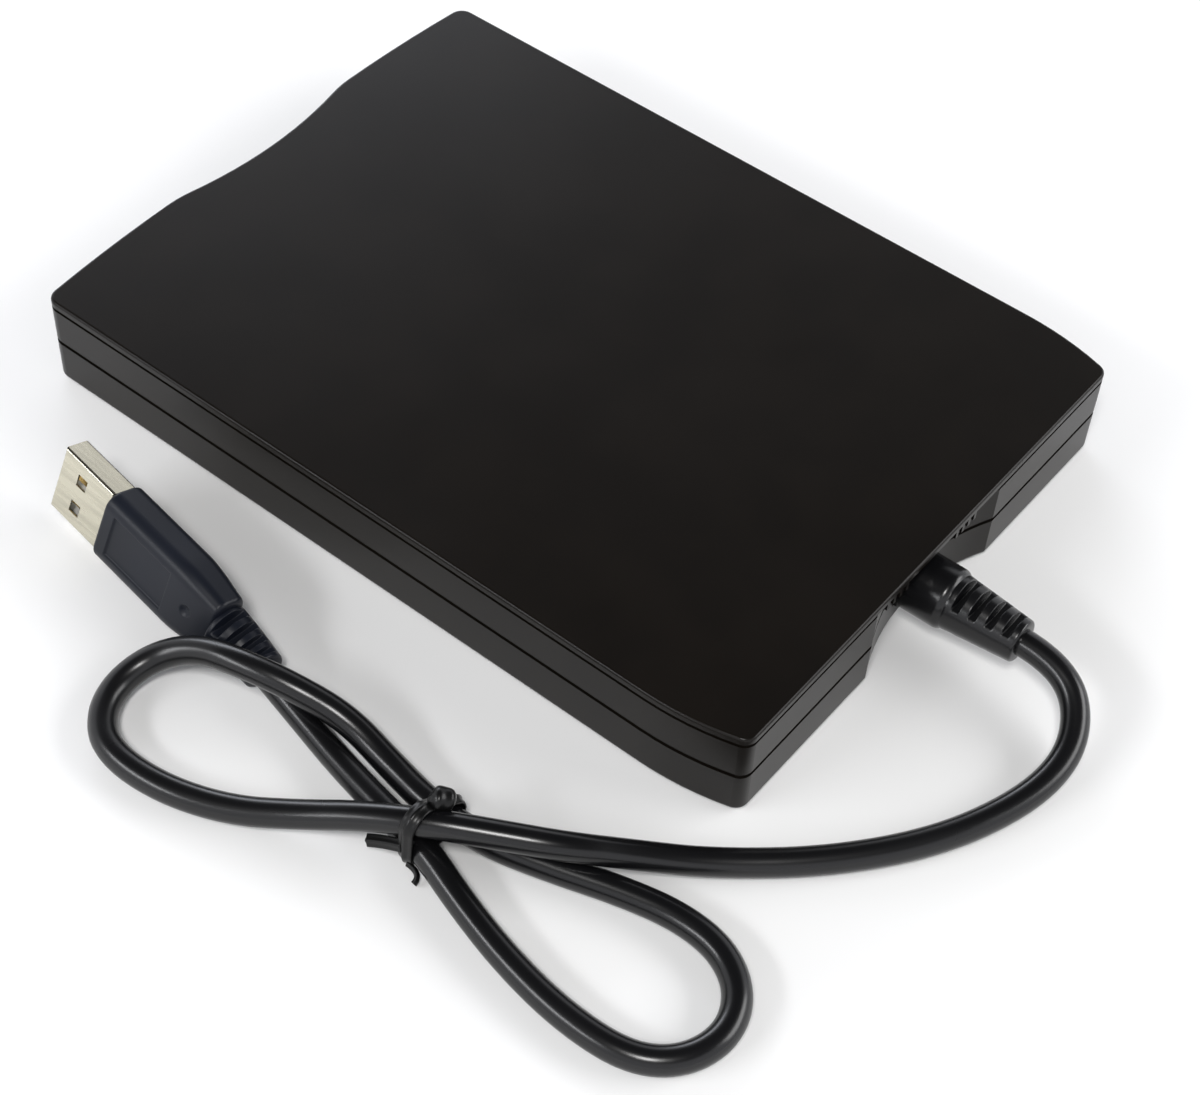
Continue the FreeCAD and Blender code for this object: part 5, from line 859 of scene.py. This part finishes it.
new_pieces = [
    (cord_run, "cord_jacket", "cord"),
    (sleeve, "cord_jacket", "strain_relief"),
    (flange, "cord_jacket", "strain_relief"),
    (neck, "cord_jacket", "strain_relief"),
    (plug_body, "plug_plastic", "plug_mould"),
    (plug_sleeve, "plug_plastic", "plug_relief"),
    (tie_band, "tie_plastic", "twist_tie"),
    (knot, "tie_plastic", "twist_tie"),
    (tie_strip, "tie_plastic", "twist_tie"),
    (tie_spike, "tie_plastic", "twist_tie"),
]
for spring in springs:
    paint(spring, "spring_steel")
for piece, slot, node in new_pieces:
    paint(piece, slot)
    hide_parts(node)
    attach(piece, "root")
for piece, _, node in new_pieces[1:]:
    lowest = mesh_points(piece.data)[:, 2].min()
    print(piece.name, "of", node, "has its lowest point at", round(lowest / MM, 3), "mm")
cord_companions = [plug_body, plug_sleeve, tie_band, knot, tie_strip, tie_spike]
cord_companions += [nodes[name] for name in ("plug_shell", "plug_tongue", "plug_contacts")]
print("declared", len(new_pieces), "new pieces")

# %% [markdown]
# ## Table and light
#
# The drive stands on a white sweep that fades out to pure white. Its soft shadows close to the drive
# are partly cast by the lamps and partly painted shade: a wide floor is painted a little greyer near
# the drive than further out.

# %% Make the floor
FLOOR_SIZE = 1.8
# Painted shade: round this middle the floor is painted grey out to the first radius, fading to white by
# the second.
FLOOR_MIDDLE_X = 0.035
FLOOR_MIDDLE_Y = 0.04
PAINTED_SHADE_RADIUS = 0.06
FLOOR_WHITE_RADIUS = 0.135
FLOOR_PAINTED_SHADE = (0.86, 0.86, 0.855, 1.0)
FLOOR_WHITE = (0.97, 0.97, 0.97, 1.0)

half_floor = FLOOR_SIZE / 2
floor_mesh = bpy.data.meshes.new("floor")
floor_corners = [(-half_floor, -half_floor, 0), (half_floor, -half_floor, 0),
                 (half_floor, half_floor, 0), (-half_floor, half_floor, 0)]
floor_mesh.from_pydata(floor_corners, [], [(0, 1, 2, 3)])
floor = bpy.data.objects.new("floor", floor_mesh)
bpy.context.scene.collection.objects.link(floor)
floor_finish, floor_shader, floor_tree = new_finish("white sweep")
floor_place = floor_tree.nodes.new("ShaderNodeTexCoord")
floor_mapping = floor_tree.nodes.new("ShaderNodeMapping")
floor_mapping.inputs["Location"].default_value = (-FLOOR_MIDDLE_X, -FLOOR_MIDDLE_Y, 0.0)
floor_distance = floor_tree.nodes.new("ShaderNodeVectorMath")
floor_distance.operation = "LENGTH"
# Painted shade: the floor's colour runs from grey near the drive to white further out.
floor_shade_ramp = floor_tree.nodes.new("ShaderNodeValToRGB")
floor_shade_ramp.color_ramp.interpolation = "EASE"
floor_shade_ramp.color_ramp.elements[0].position = PAINTED_SHADE_RADIUS
floor_shade_ramp.color_ramp.elements[1].position = FLOOR_WHITE_RADIUS
floor_shade_ramp.color_ramp.elements[0].color = FLOOR_PAINTED_SHADE
floor_shade_ramp.color_ramp.elements[1].color = FLOOR_WHITE
floor_tree.links.new(floor_place.outputs["Object"], floor_mapping.inputs["Vector"])
floor_tree.links.new(floor_mapping.outputs["Vector"], floor_distance.inputs[0])
floor_tree.links.new(floor_distance.outputs["Value"], floor_shade_ramp.inputs["Fac"])
floor_tree.links.new(floor_shade_ramp.outputs["Color"], floor_shader.inputs["Base Color"])
floor_shader.inputs["Roughness"].default_value = 0.9
floor_shader.inputs["Specular IOR Level"].default_value = 0.1
floor_mesh.materials.append(floor_finish)
print("floor", FLOOR_SIZE, "m across")

# %% [markdown]
# Black plastic shows only what it reflects. Seen from the camera, the big top face mirrors the sky
# high over the far corner, so the sky is dark up there and bright below. Three soft lamps stand
# low: past the cord's wall on the far side, off the near side, and past the far corner, where the
# light leaves a faint sheen on the top. The fourth is small and stands high over the camera, for
# the cord's bright lines.

# %% Add the lamps and the sky
LAMP_AIM = (0.03, 0.03, 0.0)
HORIZON_HEIGHT = 0.54
DARK_HEIGHT = 0.68
SKY_LOW = (0.95, 0.96, 1.0, 1.0)
SKY_HIGH = (0.03, 0.03, 0.03, 1.0)


def soft_lamp(name, place, aim, size, power, colour):
    """A flat lamp at a place, of a width and height in metres and a power in watts, turned so that
    it faces an aim point."""
    data = bpy.data.lights.new(name, "AREA")
    data.shape = "RECTANGLE"
    data.size, data.size_y = size
    data.energy = power
    data.color = colour
    lamp = bpy.data.objects.new(name, data)
    lamp.location = place
    lamp.rotation_euler = (Vector(aim) - Vector(place)).to_track_quat("-Z", "Y").to_euler()
    bpy.context.scene.collection.objects.link(lamp)


soft_lamp("lamp_far_side", (-0.68, 0.85, 0.62), LAMP_AIM, (0.9, 0.5), 7.0, (1.0, 1.0, 1.0))
soft_lamp("lamp_near_edge", (0.80, -0.38, 0.56), LAMP_AIM, (0.6, 0.12), 3.4, (0.97, 0.98, 1.0))
soft_lamp("lamp_far_corner", (-0.75, -1.15, 0.62), LAMP_AIM, (0.9, 0.35), 5.0, (0.88, 0.92, 1.0))
soft_lamp("lamp_over_camera", (0.65, 0.35, 1.15), LAMP_AIM, (0.28, 0.28), 9.0, (1.0, 0.99, 0.98))

world = bpy.data.worlds.new("sky")
bpy.context.scene.world = world
world.use_nodes = True
sky = world.node_tree
background = sky.nodes["Background"]
sky_place = sky.nodes.new("ShaderNodeTexCoord")
sky_split = sky.nodes.new("ShaderNodeSeparateXYZ")
sky_ramp = sky.nodes.new("ShaderNodeValToRGB")
sky_ramp.color_ramp.elements[0].position = HORIZON_HEIGHT
sky_ramp.color_ramp.elements[1].position = DARK_HEIGHT
sky_ramp.color_ramp.elements[0].color = SKY_LOW
sky_ramp.color_ramp.elements[1].color = SKY_HIGH
sky.links.new(sky_place.outputs["Generated"], sky_split.inputs["Vector"])
sky.links.new(sky_split.outputs["Z"], sky_ramp.inputs["Fac"])
sky.links.new(sky_ramp.outputs["Color"], background.inputs["Color"])
background.inputs["Strength"].default_value = 1.0
